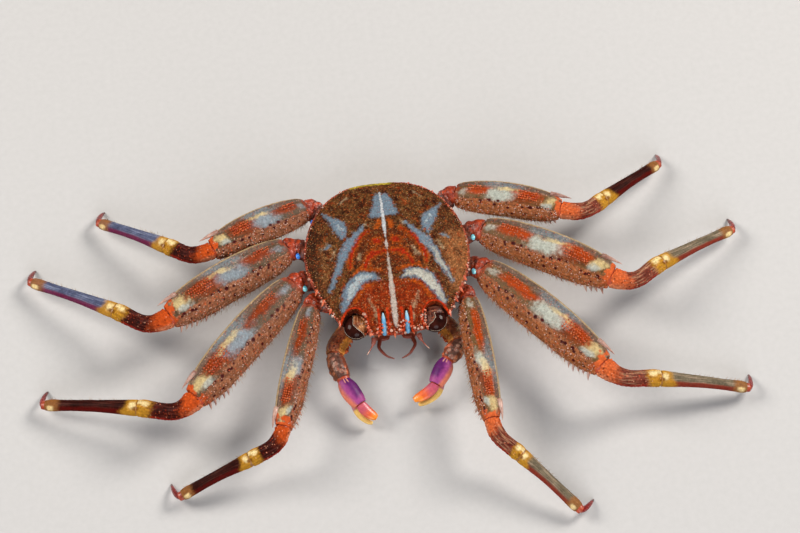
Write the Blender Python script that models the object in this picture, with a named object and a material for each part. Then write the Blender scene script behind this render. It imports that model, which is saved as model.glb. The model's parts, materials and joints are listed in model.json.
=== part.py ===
# A life-size flat rock crab, standing with its eight walking legs spread.
# Sizes are in millimetres here and become metres in each mesh. The crab faces -Y.
# Headings are measured on the ground, outward from straight ahead.

import math

import bmesh
import bpy
from mathutils import Vector

MM = 0.001
GAP = 0.3  # between the shells of a joint
FLOOR = 0.0
SIDES = {"left": 1.0, "right": -1.0}  # the crab's own left is +X

# Back shield: half outline from the rear to the snout, then its heights.
SHIELD_OUTLINE = [
    (0.0, 15.4), (5.2, 15.0), (9.4, 12.9), (12.3, 9.6), (14.2, 5.4), (15.0, 1.0),
    (14.6, -3.2), (13.1, -7.2), (11.3, -10.3), (10.2, -13.3), (5.6, -15.4), (1.7, -15.9), (0.0, -16.1),
]
SHIELD_SPOKES = 72
SHIELD_RIM_Z = 8.3
SHIELD_FRONT_RIM_Z = 7.5
SHIELD_TOP_Z = 11.2
SHIELD_RIM_DEPTH = 0.7
SHIELD_UNDER_Z = 6.6
SHIELD_RINGS = (0.12, 0.27, 0.42, 0.56, 0.68, 0.78, 0.86, 0.92, 0.965)
SIDE_SPINE_PLACES = ((11.3, -10.3), (12.6, -8.2), (13.7, -5.9))

# Face block under the front of the shield.
FACE_BACK_Y = -10.4
FACE_FRONT_Y = -14.7
FACE_BOTTOM_Z = 4.6
FACE_BACK_HALF = 8.6  # just under the shield; the block narrows downwards beside the pincers
FACE_FRONT_HALF = 6.6
FACE_BACK_NARROWING = 4.2
FACE_FRONT_NARROWING = 0.9

# Orbits, eyes and the two slits for the small feelers.
ORBIT_CENTRE = (7.4, -13.5, 7.3)
ORBIT_RADII = (2.45, 3.6, 2.2)
EYE_CENTRE = (7.55, -13.5, 7.05)
EYE_RADII = (1.55, 1.95, 1.45)
SLIT_X = 2.1
SLIT_HALF = 0.62
SLIT_BACK_Y = -11.6
SLIT_FLOOR_Z = 5.3
BLADE_WIDTH = 0.62

# Belly plate: corners of its plan, one flat side panel for each limb.
BELLY_CORNERS = [
    (4.8, -10.0), (8.2, -7.8), (10.9, -4.2), (12.2, 0.6), (11.6, 6.2), (7.6, 12.4), (3.0, 13.4),
]
BELLY_TOP_Z = 6.3
BELLY_EDGE_Z = 4.0
BELLY_BOTTOM_Z = 3.2
BELLY_INSET = 1.5

# Walking legs by pair, front to back: where the thigh starts, segment lengths, heights and spines.
LEGS = {
    1: dict(start=(14.1, -8.7), merus=26.8, carpus=7.0, propodus=13.6, width=5.8, knee_z=9.0, wrist_z=6.5, spine=1.6),
    2: dict(start=(17.2, -3.6), merus=30.8, carpus=10.0, propodus=17.2, width=7.3, knee_z=10.0, wrist_z=7.0, spine=2.0),
    3: dict(start=(17.9, 4.3), merus=27.1, carpus=10.3, propodus=18.0, width=7.2, knee_z=10.0, wrist_z=7.0, spine=1.8),
    4: dict(start=(13.8, 12.2), merus=21.2, carpus=8.8, propodus=15.6, width=6.1, knee_z=10.0, wrist_z=7.0, spine=1.3),
}
# The photographed pose: how far the hip is carried outward and back, then the headings of
# merus, carpus, propodus and claw tip in degrees.
POSES = {
    ("right", 1): (0.5, 0.7, 16.3, 62, 73.4, 149), ("left", 1): (-0.5, -0.8, 2.1, 40, 44, 125),
    ("right", 2): (0.0, 0.3, 40.9, 99, 105.5, 182), ("left", 2): (0.0, -0.3, 37.4, 82, 85.2, 157),
    ("right", 3): (-0.1, -0.1, 59.1, 117, 123.5, 184), ("left", 3): (0.1, 0.0, 56.6, 114.5, 118, 172),
    ("right", 4): (-0.3, 0.3, 64.2, 118, 126, 187), ("left", 4): (0.2, 0.2, 68.4, 114, 127, 168),
}
HIP_Z = 4.8
THIGH_START_Z = 6.5
ANKLE_Z = 2.5
CLAW_REACH = 3.9
KNEE_SETBACK = 1.8  # the merus ends this far before the bend
THIGH_LEAN = 24.0  # the broad face leans forward, so the rear crest stands higher
EDGE_SPINES = 9

# Pincers: points along each segment in the photographed pose (left one as seen on +X).
PINCERS = {
    "left": dict(
        arm=[(8.7, -12.0, 3.4), (10.5, -14.9, 3.7), (10.8, -17.0, 4.5)],
        wrist=[(10.1, -18.9, 4.9), (8.8, -20.3, 4.7)],
        palm=[(7.5, -22.3, 4.4), (5.95, -24.6, 3.8)],
        finger=[(4.1, -26.2, 3.2), (1.75, -26.9, 2.7)],
    ),
    "right": dict(
        arm=[(8.7, -12.0, 3.4), (10.8, -14.9, 3.7), (11.3, -17.2, 4.5)],
        wrist=[(11.1, -19.7, 4.9), (10.4, -22.0, 4.7)],
        palm=[(9.3, -24.6, 4.3), (7.85, -27.0, 3.7)],
        finger=[(6.7, -28.6, 3.1), (5.1, -29.6, 2.6)],
    ),
}
THUMB_DROP = 1.15  # the fixed finger lies under the moving one and to its outer side
FINGER_LIFT = 0.35

SHELL = ("shell_brown", (0.30, 0.09, 0.035), 0.42)
LEG_SHELL = ("leg_red_brown", (0.34, 0.09, 0.04), 0.4)
LEG_BAND = ("leg_band_yellow", (0.75, 0.42, 0.10), 0.38)
CLAW_TIP = ("claw_dark_red", (0.28, 0.02, 0.02), 0.35)
PINCER_PURPLE = ("pincer_purple", (0.30, 0.08, 0.42), 0.3)
PINCER_ORANGE = ("pincer_orange", (0.85, 0.25, 0.06), 0.3)
BELLY_PALE = ("belly_pale_pink", (0.62, 0.36, 0.27), 0.5)
EYE_BROWN = ("eye_dark_brown", (0.035, 0.012, 0.01), 0.12)
FEELER_BLUE = ("feeler_blue", (0.16, 0.42, 0.62), 0.35)
FEELER_RED = ("feeler_red", (0.5, 0.12, 0.08), 0.45)


def clear_scene():
    for item in list(bpy.data.objects):
        bpy.data.objects.remove(item)


def material(kind):
    name, colour, roughness = kind
    found = bpy.data.materials.get(name)
    if found:
        return found
    made = bpy.data.materials.new(name)
    made.use_nodes = True
    shader = made.node_tree.nodes["Principled BSDF"]
    shader.inputs["Base Color"].default_value = (*colour, 1.0)
    shader.inputs["Roughness"].default_value = roughness
    shader.inputs["Metallic"].default_value = 0.0
    return made


def add_object(name, shape, kind, collection):
    """Turns a bmesh in millimetres into a named object in metres."""
    bmesh.ops.scale(shape, vec=(MM, MM, MM), verts=shape.verts)
    bmesh.ops.recalc_face_normals(shape, faces=shape.faces)
    mesh = bpy.data.meshes.new(name)
    shape.to_mesh(mesh)
    shape.free()
    mesh.materials.append(material(kind))
    item = bpy.data.objects.new(name, mesh)
    collection.objects.link(item)
    return item


def new_collection(name):
    made = bpy.data.collections.new(name)
    bpy.context.scene.collection.children.link(made)
    return made


def heading(side, degrees, pitch=0.0):
    """Unit vector at a ground heading, mirrored for the crab's right side."""
    turn, rise = math.radians(degrees), math.radians(pitch)
    flat = math.cos(rise)
    return Vector((SIDES[side] * math.sin(turn) * flat, -math.cos(turn) * flat, math.sin(rise)))


def mirrored(side, point):
    return Vector((SIDES[side] * point[0], point[1], point[2]))


def loft(rings):
    """Closed body through rings of equal count, with flat end caps."""
    shape = bmesh.new()
    rows = [[shape.verts.new(point) for point in ring] for ring in rings]
    count = len(rows[0])
    for near, far in zip(rows, rows[1:]):
        for i in range(count):
            j = (i + 1) % count
            shape.faces.new((near[i], near[j], far[j], far[i]))
    shape.faces.new(reversed(rows[0]))
    shape.faces.new(rows[-1])
    return shape


def bezier(start, start_way, end, end_way, pull, end_pull):
    """A smooth bend between two points with given directions: returns place and way by fraction."""
    reach = (end - start).length
    a, b, c, d = start, start + start_way * reach * pull, end - end_way * reach * end_pull, end

    def place(t):
        s = 1.0 - t
        return a * s**3 + b * 3 * s * s * t + c * 3 * s * t * t + d * t**3

    def way(t):
        s = 1.0 - t
        return ((b - a) * s * s + (c - b) * 2 * s * t + (d - c) * t * t).normalized()

    return place, way


def through(points, start_way=None):
    """A smooth path through a few points, by Catmull-Rom, that may leave in a given direction."""
    first = points[1] - points[0]
    before = points[1] - (start_way * first.length * 2 if start_way else first * 2)
    ends = [before, *points, points[-1] * 2 - points[-2]]
    spans = len(points) - 1

    def locate(t):
        span = min(int(t * spans), spans - 1)
        return ends[span:span + 4], t * spans - span

    def place(t):
        (p, q, r, s), u = locate(t)
        return (q * 2 + (r - p) * u + (p * 2 - q * 5 + r * 4 - s) * u**2 + (q * 3 - p - r * 3 + s) * u**3) / 2

    def way(t):
        step = 0.002
        return (place(min(t + step, 1.0)) - place(max(t - step, 0.0))).normalized()

    return place, way


def frame_at(way, side, lean):
    """Forward and upward unit vectors across a limb, leaned about its axis."""
    up = (Vector((0, 0, 1)) - way * way.z).normalized()
    fore = way.cross(up) * SIDES[side]
    turn = math.radians(lean)
    return fore * math.cos(turn) - up * math.sin(turn), up * math.cos(turn) + fore * math.sin(turn)


def round_section(count, power=1.0):
    """Unit ring; a power under one makes it squarer."""
    ring = []
    for i in range(count):
        turn = 2 * math.pi * (i + 0.5) / count
        x, y = math.cos(turn), math.sin(turn)
        ring.append((math.copysign(abs(x) ** power, x), math.copysign(abs(y) ** power, y)))
    return ring


# Thigh section: thin rear crest, flat upper face, spiny front edge. First value points forward.
THIGH_SECTION = [
    (-1.0, 0.42), (-0.66, 0.72), (-0.2, 0.95), (0.3, 1.0), (0.72, 0.74), (1.0, 0.12),
    (0.9, -0.5), (0.45, -0.95), (-0.15, -0.95), (-0.65, -0.5), (-0.96, 0.08),
]
ROUND = round_section(10)
SQUARISH = round_section(10, 0.8)


def tube(path, side, section, stations, lean=0.0, lean_end=None):
    """Loft of a section along a path; each station is fraction, width, depth."""
    place, way = path
    lean_end = lean if lean_end is None else lean_end
    rings = []
    for t, width, depth in stations:
        fore, up = frame_at(way(t), side, lean + (lean_end - lean) * t)
        centre = place(t)
        rings.append([centre + fore * (x * width / 2) + up * (y * depth / 2) for x, y in section])
    return loft(rings)


def spine(base, way, length, radius, sides=5):
    """Pointed cone from a sunk base."""
    shape = bmesh.new()
    bmesh.ops.create_cone(shape, cap_ends=True, segments=sides, radius1=radius, radius2=0.07, depth=length)
    turn = way.to_track_quat("Z", "Y").to_matrix().to_4x4()
    bmesh.ops.transform(shape, matrix=turn, verts=shape.verts)
    bmesh.ops.translate(shape, vec=base + way * (length / 2), verts=shape.verts)
    return shape


def ball(centre, radii, columns=20, rows=12):
    shape = bmesh.new()
    bmesh.ops.create_uvsphere(shape, u_segments=columns, v_segments=rows, radius=1.0)
    bmesh.ops.scale(shape, vec=radii, verts=shape.verts)
    bmesh.ops.translate(shape, vec=centre, verts=shape.verts)
    return shape


def largest_body(item):
    """Keeps only the largest closed surface of a mesh."""
    shape = bmesh.new()
    shape.from_mesh(item.data)
    shape.verts.ensure_lookup_table()
    seen, islands = set(), []
    for vert in shape.verts:
        if vert in seen:
            continue
        stack, island = [vert], []
        seen.add(vert)
        while stack:
            here = stack.pop()
            island.append(here)
            for edge in here.link_edges:
                other = edge.other_vert(here)
                if other not in seen:
                    seen.add(other)
                    stack.append(other)
        islands.append(island)
    islands.sort(key=len)
    for island in islands[:-1]:
        bmesh.ops.delete(shape, geom=island, context="VERTS")
    bmesh.ops.triangulate(shape, faces=shape.faces)
    shape.to_mesh(item.data)
    shape.free()


def boolean(item, shapes, operation, solver="EXACT"):
    """Joins or cuts an object with several closed shapes at once, and applies it."""
    helpers = new_collection("helpers")
    for shape in shapes:
        add_object("helper", shape, SHELL, helpers)
    step = item.modifiers.new("join", "BOOLEAN")
    step.operation = operation
    step.operand_type = "COLLECTION"
    step.collection = helpers
    step.solver = solver
    bpy.context.view_layer.update()
    seen = item.evaluated_get(bpy.context.evaluated_depsgraph_get())
    result = bpy.data.meshes.new_from_object(seen)
    item.modifiers.clear()
    item.data = result
    for helper in list(helpers.objects):
        bpy.data.objects.remove(helper)
    bpy.data.collections.remove(helpers)
    largest_body(item)


def smooth_outline(points, count):
    """Evenly turned outline points right round, from a mirrored half outline."""
    half = [Vector((x, y, 0)) for x, y in points]
    loop = half + [Vector((-p.x, p.y, 0)) for p in reversed(half[1:-1])]
    total, fine = len(loop), []
    for i in range(total):
        p, q, r, s = (loop[(i + k) % total] for k in (-1, 0, 1, 2))
        for step in range(12):
            u = step / 12
            fine.append(
                (q * 2 + (r - p) * u + (p * 2 - q * 5 + r * 4 - s) * u**2 + (q * 3 - p - r * 3 + s) * u**3) / 2
            )
    ring = []
    for i in range(count):
        turn = 2 * math.pi * i / count
        ray = Vector((math.sin(turn), math.cos(turn), 0))
        best = None
        for a, b in zip(fine, fine[1:] + fine[:1]):
            side_a, side_b = ray.cross(a).z, ray.cross(b).z
            if side_a * side_b <= 0 and a.dot(ray) > 0 and side_a != side_b:
                best = a.lerp(b, side_a / (side_a - side_b)).dot(ray)
        ring.append(ray * best)
    return ring


def rim_height(y):
    """The rim dips towards the snout."""
    dip = min(max((-y - 8.0) / 8.0, 0.0), 1.0)
    return SHIELD_RIM_Z + (SHIELD_FRONT_RIM_Z - SHIELD_RIM_Z) * dip


def shield_height(x, y, fraction):
    """Low dome with a shallow groove each side behind the face and softly raised gill regions."""
    rim = rim_height(y)
    dome = rim + (SHIELD_TOP_Z - rim) * (1.0 - fraction**2.3) ** 0.8
    groove = 0.35 * math.exp(-(((abs(x) - 5.6) / 1.6) ** 2) - ((y - 1.8) / 3.4) ** 2)
    gill = 0.25 * math.exp(-(((abs(x) - 9.0) / 2.6) ** 2) - ((y - 4.5) / 5.0) ** 2)
    return dome - groove + gill


def shield(collection):
    outline = smooth_outline(SHIELD_OUTLINE, SHIELD_SPOKES)
    rings = []
    for fraction in (*SHIELD_RINGS, 1.0):
        rings.append([Vector((p.x * fraction, p.y * fraction,
                              shield_height(p.x * fraction, p.y * fraction, fraction))) for p in outline])
    rings.append([Vector((p.x * 0.995, p.y * 0.995, rim_height(p.y) - SHIELD_RIM_DEPTH)) for p in outline])
    for fraction in (0.86, 0.7):
        rings.append([Vector((p.x * fraction, p.y * fraction, SHIELD_UNDER_Z)) for p in outline])
    item = add_object("carapace", loft(rings), SHELL, collection)
    face = [
        Vector((FACE_BACK_HALF - FACE_BACK_NARROWING, FACE_BACK_Y, FACE_BOTTOM_Z)),
        Vector((FACE_BACK_HALF, FACE_BACK_Y, 7.6)),
        Vector((-FACE_BACK_HALF, FACE_BACK_Y, 7.6)),
        Vector((-FACE_BACK_HALF + FACE_BACK_NARROWING, FACE_BACK_Y, FACE_BOTTOM_Z)),
    ]
    muzzle = [
        Vector((FACE_FRONT_HALF - FACE_FRONT_NARROWING, FACE_FRONT_Y + 0.6, FACE_BOTTOM_Z)),
        Vector((FACE_FRONT_HALF, FACE_FRONT_Y, 7.4)),
        Vector((-FACE_FRONT_HALF, FACE_FRONT_Y, 7.4)),
        Vector((-FACE_FRONT_HALF + FACE_FRONT_NARROWING, FACE_FRONT_Y + 0.6, FACE_BOTTOM_Z)),
    ]
    pieces = [loft([face, muzzle])]
    for side in SIDES:
        for x, y in SIDE_SPINE_PLACES:
            base = mirrored(side, (x - 0.7, y + 0.6, rim_height(y) - 0.35))
            pieces.append(spine(base, heading(side, 24), 2.0, 0.55))
        pieces.append(spine(mirrored(side, (10.1, -12.0, 7.4)), heading(side, 6), 2.1, 0.5))
        for x, y, turn in ((0.75, -15.3, 8), (1.3, -14.9, 30), (3.1, -14.8, 4), (4.1, -14.7, 12), (4.8, -14.0, 30)):
            pieces.append(spine(mirrored(side, (x, y, rim_height(y) - 0.4)), heading(side, turn, -12), 1.7, 0.42))
    boolean(item, pieces, "UNION")
    cutters = []
    for side in SIDES:
        cutters.append(ball(mirrored(side, ORBIT_CENTRE), ORBIT_RADII))
        slit = [
            (SLIT_X, SLIT_BACK_Y), (SLIT_X + SLIT_HALF, SLIT_BACK_Y - 1.5), (SLIT_X + SLIT_HALF, -18.0),
            (SLIT_X - SLIT_HALF, -18.0), (SLIT_X - SLIT_HALF, SLIT_BACK_Y - 1.5),
        ]
        cutters.append(loft([[mirrored(side, (x, y, z)) for x, y in slit] for z in (SLIT_FLOOR_Z, 12.0)]))
    boolean(item, cutters, "DIFFERENCE")
    return item


def belly(collection):
    """Breast plate with a flat side panel for each limb and shallow cross grooves."""
    def ring(inset, z):
        points = []
        for x, y in BELLY_CORNERS:
            size = math.hypot(x, y)
            points.append(Vector((x * (1 - inset / size), y * (1 - inset / size), z)))
        return points + [Vector((-p.x, p.y, p.z)) for p in reversed(points)]

    rings = [ring(0, BELLY_TOP_Z), ring(0, BELLY_EDGE_Z), ring(BELLY_INSET, BELLY_BOTTOM_Z)]
    item = add_object("thorax", loft(rings), BELLY_PALE, collection)
    grooves = []
    for side in SIDES:
        for (x, y), inner_y in zip(BELLY_CORNERS[1:5], (-6.0, -2.8, 0.8, 4.4)):
            outer = mirrored(side, (x * 1.1, y * 1.1, BELLY_BOTTOM_Z))
            inner = mirrored(side, (4.6, inner_y, BELLY_BOTTOM_Z))
            across = (outer - inner).cross(Vector((0, 0, 1))).normalized() * 0.3
            grooves.append(loft([[end - across - Vector((0, 0, 0.2)), end + across - Vector((0, 0, 0.2)),
                                  end + Vector((0, 0, 0.3))] for end in (inner, outer)]))
    boolean(item, grooves, "DIFFERENCE")
    return item


def tail_flap(collection):
    """Broad abdomen of a female, folded under the belly; each segment ends in a small step."""
    path = through([Vector((0, y, z)) for y, z in (
        (14.5, 6.0), (14.4, 4.2), (13.1, 2.5), (9.0, 2.25), (4.0, 2.25), (0.0, 2.25), (-3.2, 2.3))])
    widths = (9.0, 10.4, 11.4, 12.0, 12.0, 10.6, 6.0)
    stations = []
    for i, width in enumerate(widths):
        following = widths[i + 1] if i + 1 < len(widths) else 2.6
        start, end = i / len(widths), (i + 1) / len(widths)
        stations.append((start + 0.004, width - 0.5, 0.62))
        stations.append((start + 0.05, width, 0.85))
        stations.append((end - 0.004, following - 0.1, 0.8))
    section = [(-1, 0.2), (-0.6, 1), (0, 1), (0.6, 1), (1, 0.2), (1, -0.4), (0.6, -1), (0, -1), (-0.6, -1), (-1, -0.4)]
    place, way = path
    rings = []
    for t, width, depth in stations:
        along = way(t)
        out = along.cross(Vector((1, 0, 0))).normalized()
        rings.append([place(t) + Vector((x * width / 2, 0, 0)) + out * (z * depth / 2) for x, z in section])
    return add_object("abdomen", loft(rings), BELLY_PALE, collection)


def eye(side, collection):
    """Kidney-shaped eye on a short stalk from the inner wall of its orbit."""
    item = add_object(f"eye_{side}", ball(mirrored(side, EYE_CENTRE), EYE_RADII, 20, 12), EYE_BROWN, collection)
    root = mirrored(side, (5.75, -12.8, 6.95))
    centre = mirrored(side, EYE_CENTRE)
    path = through([root, (root + centre) / 2, centre])
    stalk = tube(path, side, ROUND, [(0, 1.3, 1.5), (0.4, 2.0, 1.9), (0.8, 1.8, 1.7)])
    boolean(item, [stalk], "UNION")
    return item


def small_feeler(side, collection):
    """Antennule folded upright in its slit."""
    points = [(SLIT_X, -14.4, SLIT_FLOOR_Z + GAP), (SLIT_X, -14.9, 6.3), (SLIT_X, -14.3, 7.3), (SLIT_X, -12.8, 7.9)]
    path = through([mirrored(side, p) for p in points])
    stations = [(0, 1.1, BLADE_WIDTH), (0.3, 1.4, BLADE_WIDTH), (0.65, 1.3, BLADE_WIDTH), (1, 0.5, 0.4)]
    place, way = path
    rings = []
    for t, width, depth in stations:
        across = way(t).cross(Vector((1, 0, 0))).normalized()
        rings.append([place(t) + across * (x * width / 2) + Vector((y * depth / 2, 0, 0)) for x, y in ROUND])
    return add_object(f"antennule_{side}", loft(rings), FEELER_BLUE, collection)


def long_feeler(side, collection):
    """Short antenna from between the slit and the orbit: a stout base and a thin whip."""
    points = [(4.0, FACE_FRONT_Y - GAP - 0.15, 5.7), (4.5, -16.3, 5.5), (5.6, -18.2, 5.5), (7.2, -20.0, 6.0)]
    stations = [(0, 1.2, 1.2), (0.12, 1.3, 1.3), (0.3, 1.0, 1.0), (0.4, 0.6, 0.6), (0.7, 0.5, 0.5), (1, 0.2, 0.2)]
    shape = tube(through([mirrored(side, p) for p in points]), side, round_section(7), stations)
    return add_object(f"antenna_{side}", shape, FEELER_RED, collection)


def jaw_leg(side, collection):
    """Outer mouth limb: a flat plate with a bent palp that reaches forward."""
    plate = [(2.6, -10.3 - GAP, 3.5), (2.5, -12.6, 3.4), (2.3, -14.6, 3.5)]
    item = add_object(
        f"maxilliped_{side}",
        tube(through([mirrored(side, p) for p in plate]), side, SQUARISH,
             [(0, 2.6, 0.9), (0.15, 3.4, 1.1), (0.8, 3.2, 1.1), (1, 2.2, 0.8)]),
        BELLY_PALE, collection)
    palp = [(2.7, -13.8, 3.5), (3.3, -16.0, 3.6), (2.2, -17.6, 3.2), (0.7, -18.1, 2.5)]
    boolean(item, [tube(through([mirrored(side, p) for p in palp]), side, round_section(8),
                        [(0, 1.0, 0.8), (0.35, 1.2, 1.0), (0.7, 0.9, 0.8), (1, 0.5, 0.5)])], "UNION")
    return item


def panel_root(index, z):
    """Middle and outward way of one side panel of the belly plate."""
    (ax, ay), (bx, by) = BELLY_CORNERS[index], BELLY_CORNERS[index + 1]
    out = Vector((by - ay, ax - bx, 0)).normalized()
    return Vector(((ax + bx) / 2, (ay + by) / 2, z)), out


def limb_root(side, index, z):
    middle, out = panel_root(index, z)
    return mirrored(side, middle + out * GAP), mirrored(side, out)


def edge_spines(path, side, width, depth, length):
    """Row of forward spines along the front edge of a thigh, longer towards the knee."""
    place, way = path
    row = []
    for i in range(EDGE_SPINES):
        share = i / (EDGE_SPINES - 1)
        t = 0.12 + 0.83 * share
        fore, up = frame_at(way(t), side, THIGH_LEAN)
        reach = width(t) / 2
        base = place(t) + fore * (reach - 0.75) + up * (depth * 0.05)
        point = (fore * 0.8 + way(t) * 0.6 + up * 0.12).normalized()
        row.append(spine(base, point, length * (0.9 + 0.35 * share), 0.4 + 0.1 * share))
    return row


def leg(side, number, collection):
    size = LEGS[number]
    hip_out, hip_back, merus_turn, carpus_turn, propodus_turn, claw_turn = POSES[(side, number)]
    label = f"leg_{side}_{number}"
    wide = size["width"]

    hip_x, hip_y = size["start"]
    start = mirrored(side, (hip_x + hip_out, hip_y + hip_back, THIGH_START_Z))
    rise = math.degrees(math.asin((size["knee_z"] - THIGH_START_Z) / size["merus"]))
    merus_way = heading(side, merus_turn, rise)
    knee = start + merus_way * size["merus"]

    root, out = limb_root(side, number, HIP_Z)
    base = tube(bezier(root, out, start, merus_way, 0.42, 0.42), side, ROUND,
                [(0, 3.1, 2.4), (0.2, 3.3, 2.6), (0.45, 3.0, 2.5), (0.7, 3.1, 2.4), (0.9, 3.3, 2.5), (1, 2.9, 2.1)],
                0, THIGH_LEAN)
    add_object(f"{label}_base", base, LEG_SHELL, collection)

    merus_start = start + merus_way * GAP
    merus_end = knee - merus_way * KNEE_SETBACK
    arch = Vector((0, 0, 0.9))
    path = through([merus_start, merus_start.lerp(merus_end, 0.5) + arch, merus_end])
    profile = [(0, 0.46, 2.1), (0.05, 0.62, 2.5), (0.14, 0.8, 2.8), (0.3, 0.95, 3.0), (0.5, 1.0, 3.0),
               (0.7, 1.0, 2.9), (0.84, 0.94, 2.8), (0.93, 0.82, 2.6), (1, 0.6, 2.2)]

    def width_at(t):
        for (t0, w0, _), (t1, w1, _) in zip(profile, profile[1:]):
            if t <= t1:
                return wide * (w0 + (w1 - w0) * (t - t0) / (t1 - t0))
        return wide * profile[-1][1]

    thigh = add_object(
        f"{label}_merus",
        tube(path, side, THIGH_SECTION, [(t, wide * share, deep) for t, share, deep in profile], THIGH_LEAN),
        LEG_SHELL, collection)
    spines = edge_spines(path, side, width_at, 2.8, size["spine"])
    fore, up = frame_at(merus_way, side, THIGH_LEAN)
    crest_end = merus_end - fore * (wide * 0.38) + up * 0.5 - merus_way * 1.9
    spines.append(spine(crest_end, (merus_way - fore * 0.2 + up * 0.05).normalized(), 2.6, 0.6, 6))
    boolean(thigh, spines, "UNION")

    propodus_drop = math.degrees(math.asin((size["wrist_z"] - ANKLE_Z) / size["propodus"]))
    propodus_way = heading(side, propodus_turn, -propodus_drop)
    carpus_drop = math.degrees(math.asin((size["knee_z"] - size["wrist_z"]) / size["carpus"]))
    wrist = knee + heading(side, carpus_turn, -carpus_drop) * size["carpus"]
    carpus_start = merus_end + merus_way * GAP
    carpus = tube(bezier(carpus_start, merus_way, wrist, propodus_way, 0.52, 0.4), side, ROUND,
                  [(0, 2.7, 2.1), (0.12, 3.2, 2.5), (0.28, 3.3, 2.6), (0.45, 3.2, 2.5), (0.62, 3.2, 2.4),
                   (0.8, 3.4, 2.4), (0.93, 3.4, 2.4), (1, 2.8, 2.0)], THIGH_LEAN * 0.6, 10)
    add_object(f"{label}_carpus", carpus, LEG_SHELL, collection)

    ankle = wrist + propodus_way * size["propodus"]
    shin = tube(through([wrist + propodus_way * GAP, wrist.lerp(ankle, 0.5) + Vector((0, 0, 0.35)), ankle]),
                side, ROUND,
                [(0, 2.7, 1.9), (0.07, 3.2, 2.2), (0.2, 3.0, 2.1), (0.45, 2.6, 1.8), (0.75, 2.3, 1.7),
                 (0.93, 2.5, 1.8), (1, 2.0, 1.5)], 10)
    add_object(f"{label}_propodus", shin, LEG_BAND, collection)

    claw_start = ankle + propodus_way * GAP
    foot = ankle + heading(side, claw_turn) * CLAW_REACH
    foot.z = FLOOR - 0.12
    claw_path = bezier(claw_start, propodus_way, foot, heading(side, claw_turn + 18, -50), 0.45, 0.45)
    claw = add_object(
        f"{label}_dactylus",
        tube(claw_path, side, round_section(8),
             [(0, 1.6, 1.3), (0.15, 1.8, 1.5), (0.4, 1.5, 1.3), (0.7, 1.1, 1.0), (0.9, 0.75, 0.7), (1, 0.55, 0.5)]),
        CLAW_TIP, collection)
    stand_flat(claw)


def stand_flat(item):
    """Cuts a foot level with the floor."""
    shape = bmesh.new()
    shape.from_mesh(item.data)
    cut = bmesh.ops.bisect_plane(shape, geom=[*shape.verts, *shape.edges, *shape.faces],
                                 plane_co=(0, 0, FLOOR), plane_no=(0, 0, -1), clear_outer=True)
    edges = [part for part in cut["geom_cut"] if isinstance(part, bmesh.types.BMEdge)]
    bmesh.ops.contextual_create(shape, geom=edges)
    bmesh.ops.recalc_face_normals(shape, faces=shape.faces)
    shape.to_mesh(item.data)
    shape.free()


def pincer(side, collection):
    """Small claw limb: arm, bumpy wrist, palm with its fixed finger, and the moving finger."""
    plan = PINCERS[side]
    label = f"pincer_{side}"
    end, way = limb_root(side, 0, 4.45)

    def segment(name, section, points, stations, kind):
        nonlocal end, way
        path = through([end, *(mirrored(side, p) for p in points)], way)
        item = add_object(f"{label}_{name}", tube(path, side, section, stations), kind, collection)
        way = path[1](1.0)
        end = path[0](1.0) + way * GAP
        return item

    segment("arm", ROUND, plan["arm"],
            [(0, 2.4, 1.8), (0.12, 2.6, 1.9), (0.35, 2.8, 2.1), (0.6, 3.1, 2.5), (0.85, 3.2, 2.6), (1, 2.6, 2.1)],
            LEG_SHELL)
    segment("wrist", ROUND, plan["wrist"],
            [(0, 2.3, 2.0), (0.2, 3.0, 2.5), (0.5, 3.3, 2.7), (0.85, 3.1, 2.6), (1, 2.5, 2.1)], LEG_SHELL)
    palm = segment("palm", ROUND, plan["palm"],
                   [(0, 2.3, 1.9), (0.15, 3.0, 2.4), (0.5, 3.5, 2.7), (0.85, 3.3, 2.6), (1, 2.9, 2.3)],
                   PINCER_PURPLE)
    tip = mirrored(side, plan["finger"][-1])
    drop = Vector((0, 0, -THUMB_DROP))
    outer = way.cross(Vector((0, 0, 1))) * -SIDES[side]
    thumb = through([end - way * 1.5 + drop * 0.7 + outer * 0.5, end + way * 1.4 + drop + outer * 0.8,
                     tip - way * 0.4 + drop + outer * 0.4])
    boolean(palm, [tube(thumb, side, round_section(8),
                        [(0, 1.5, 1.1), (0.4, 1.3, 0.9), (0.8, 1.1, 0.8), (1, 0.7, 0.6)])], "UNION")
    lift = Vector((0, 0, FINGER_LIFT))
    finger = through([end + lift, mirrored(side, plan["finger"][0]) + lift, tip + lift], way)
    add_object(f"{label}_finger", tube(finger, side, round_section(8),
               [(0, 1.9, 1.2), (0.2, 2.2, 1.3), (0.55, 2.1, 1.2), (0.85, 1.7, 1.0), (1, 0.9, 0.6)]),
               PINCER_ORANGE, collection)


def centre_on_floor(collection):
    """Moves every piece so the crab's box is centred over the origin."""
    corners = [vert.co for item in collection.objects for vert in item.data.vertices]
    low = Vector([min(c[i] for c in corners) for i in range(3)])
    high = Vector([max(c[i] for c in corners) for i in range(3)])
    holder = bpy.data.objects.new("crab_centre", None)
    collection.objects.link(holder)
    holder.location = (-(low.x + high.x) / 2, -(low.y + high.y) / 2, 0.0)
    for item in collection.objects:
        if item.type == "MESH":
            item.parent = holder


def main():
    clear_scene()
    crab = new_collection("flat_rock_crab")
    shield(crab)
    belly(crab)
    tail_flap(crab)
    for side in SIDES:
        eye(side, crab)
        small_feeler(side, crab)
        long_feeler(side, crab)
        jaw_leg(side, crab)
        pincer(side, crab)
        for number in LEGS:
            leg(side, number, crab)
    centre_on_floor(crab)
    bpy.context.view_layer.update()


main()
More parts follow.
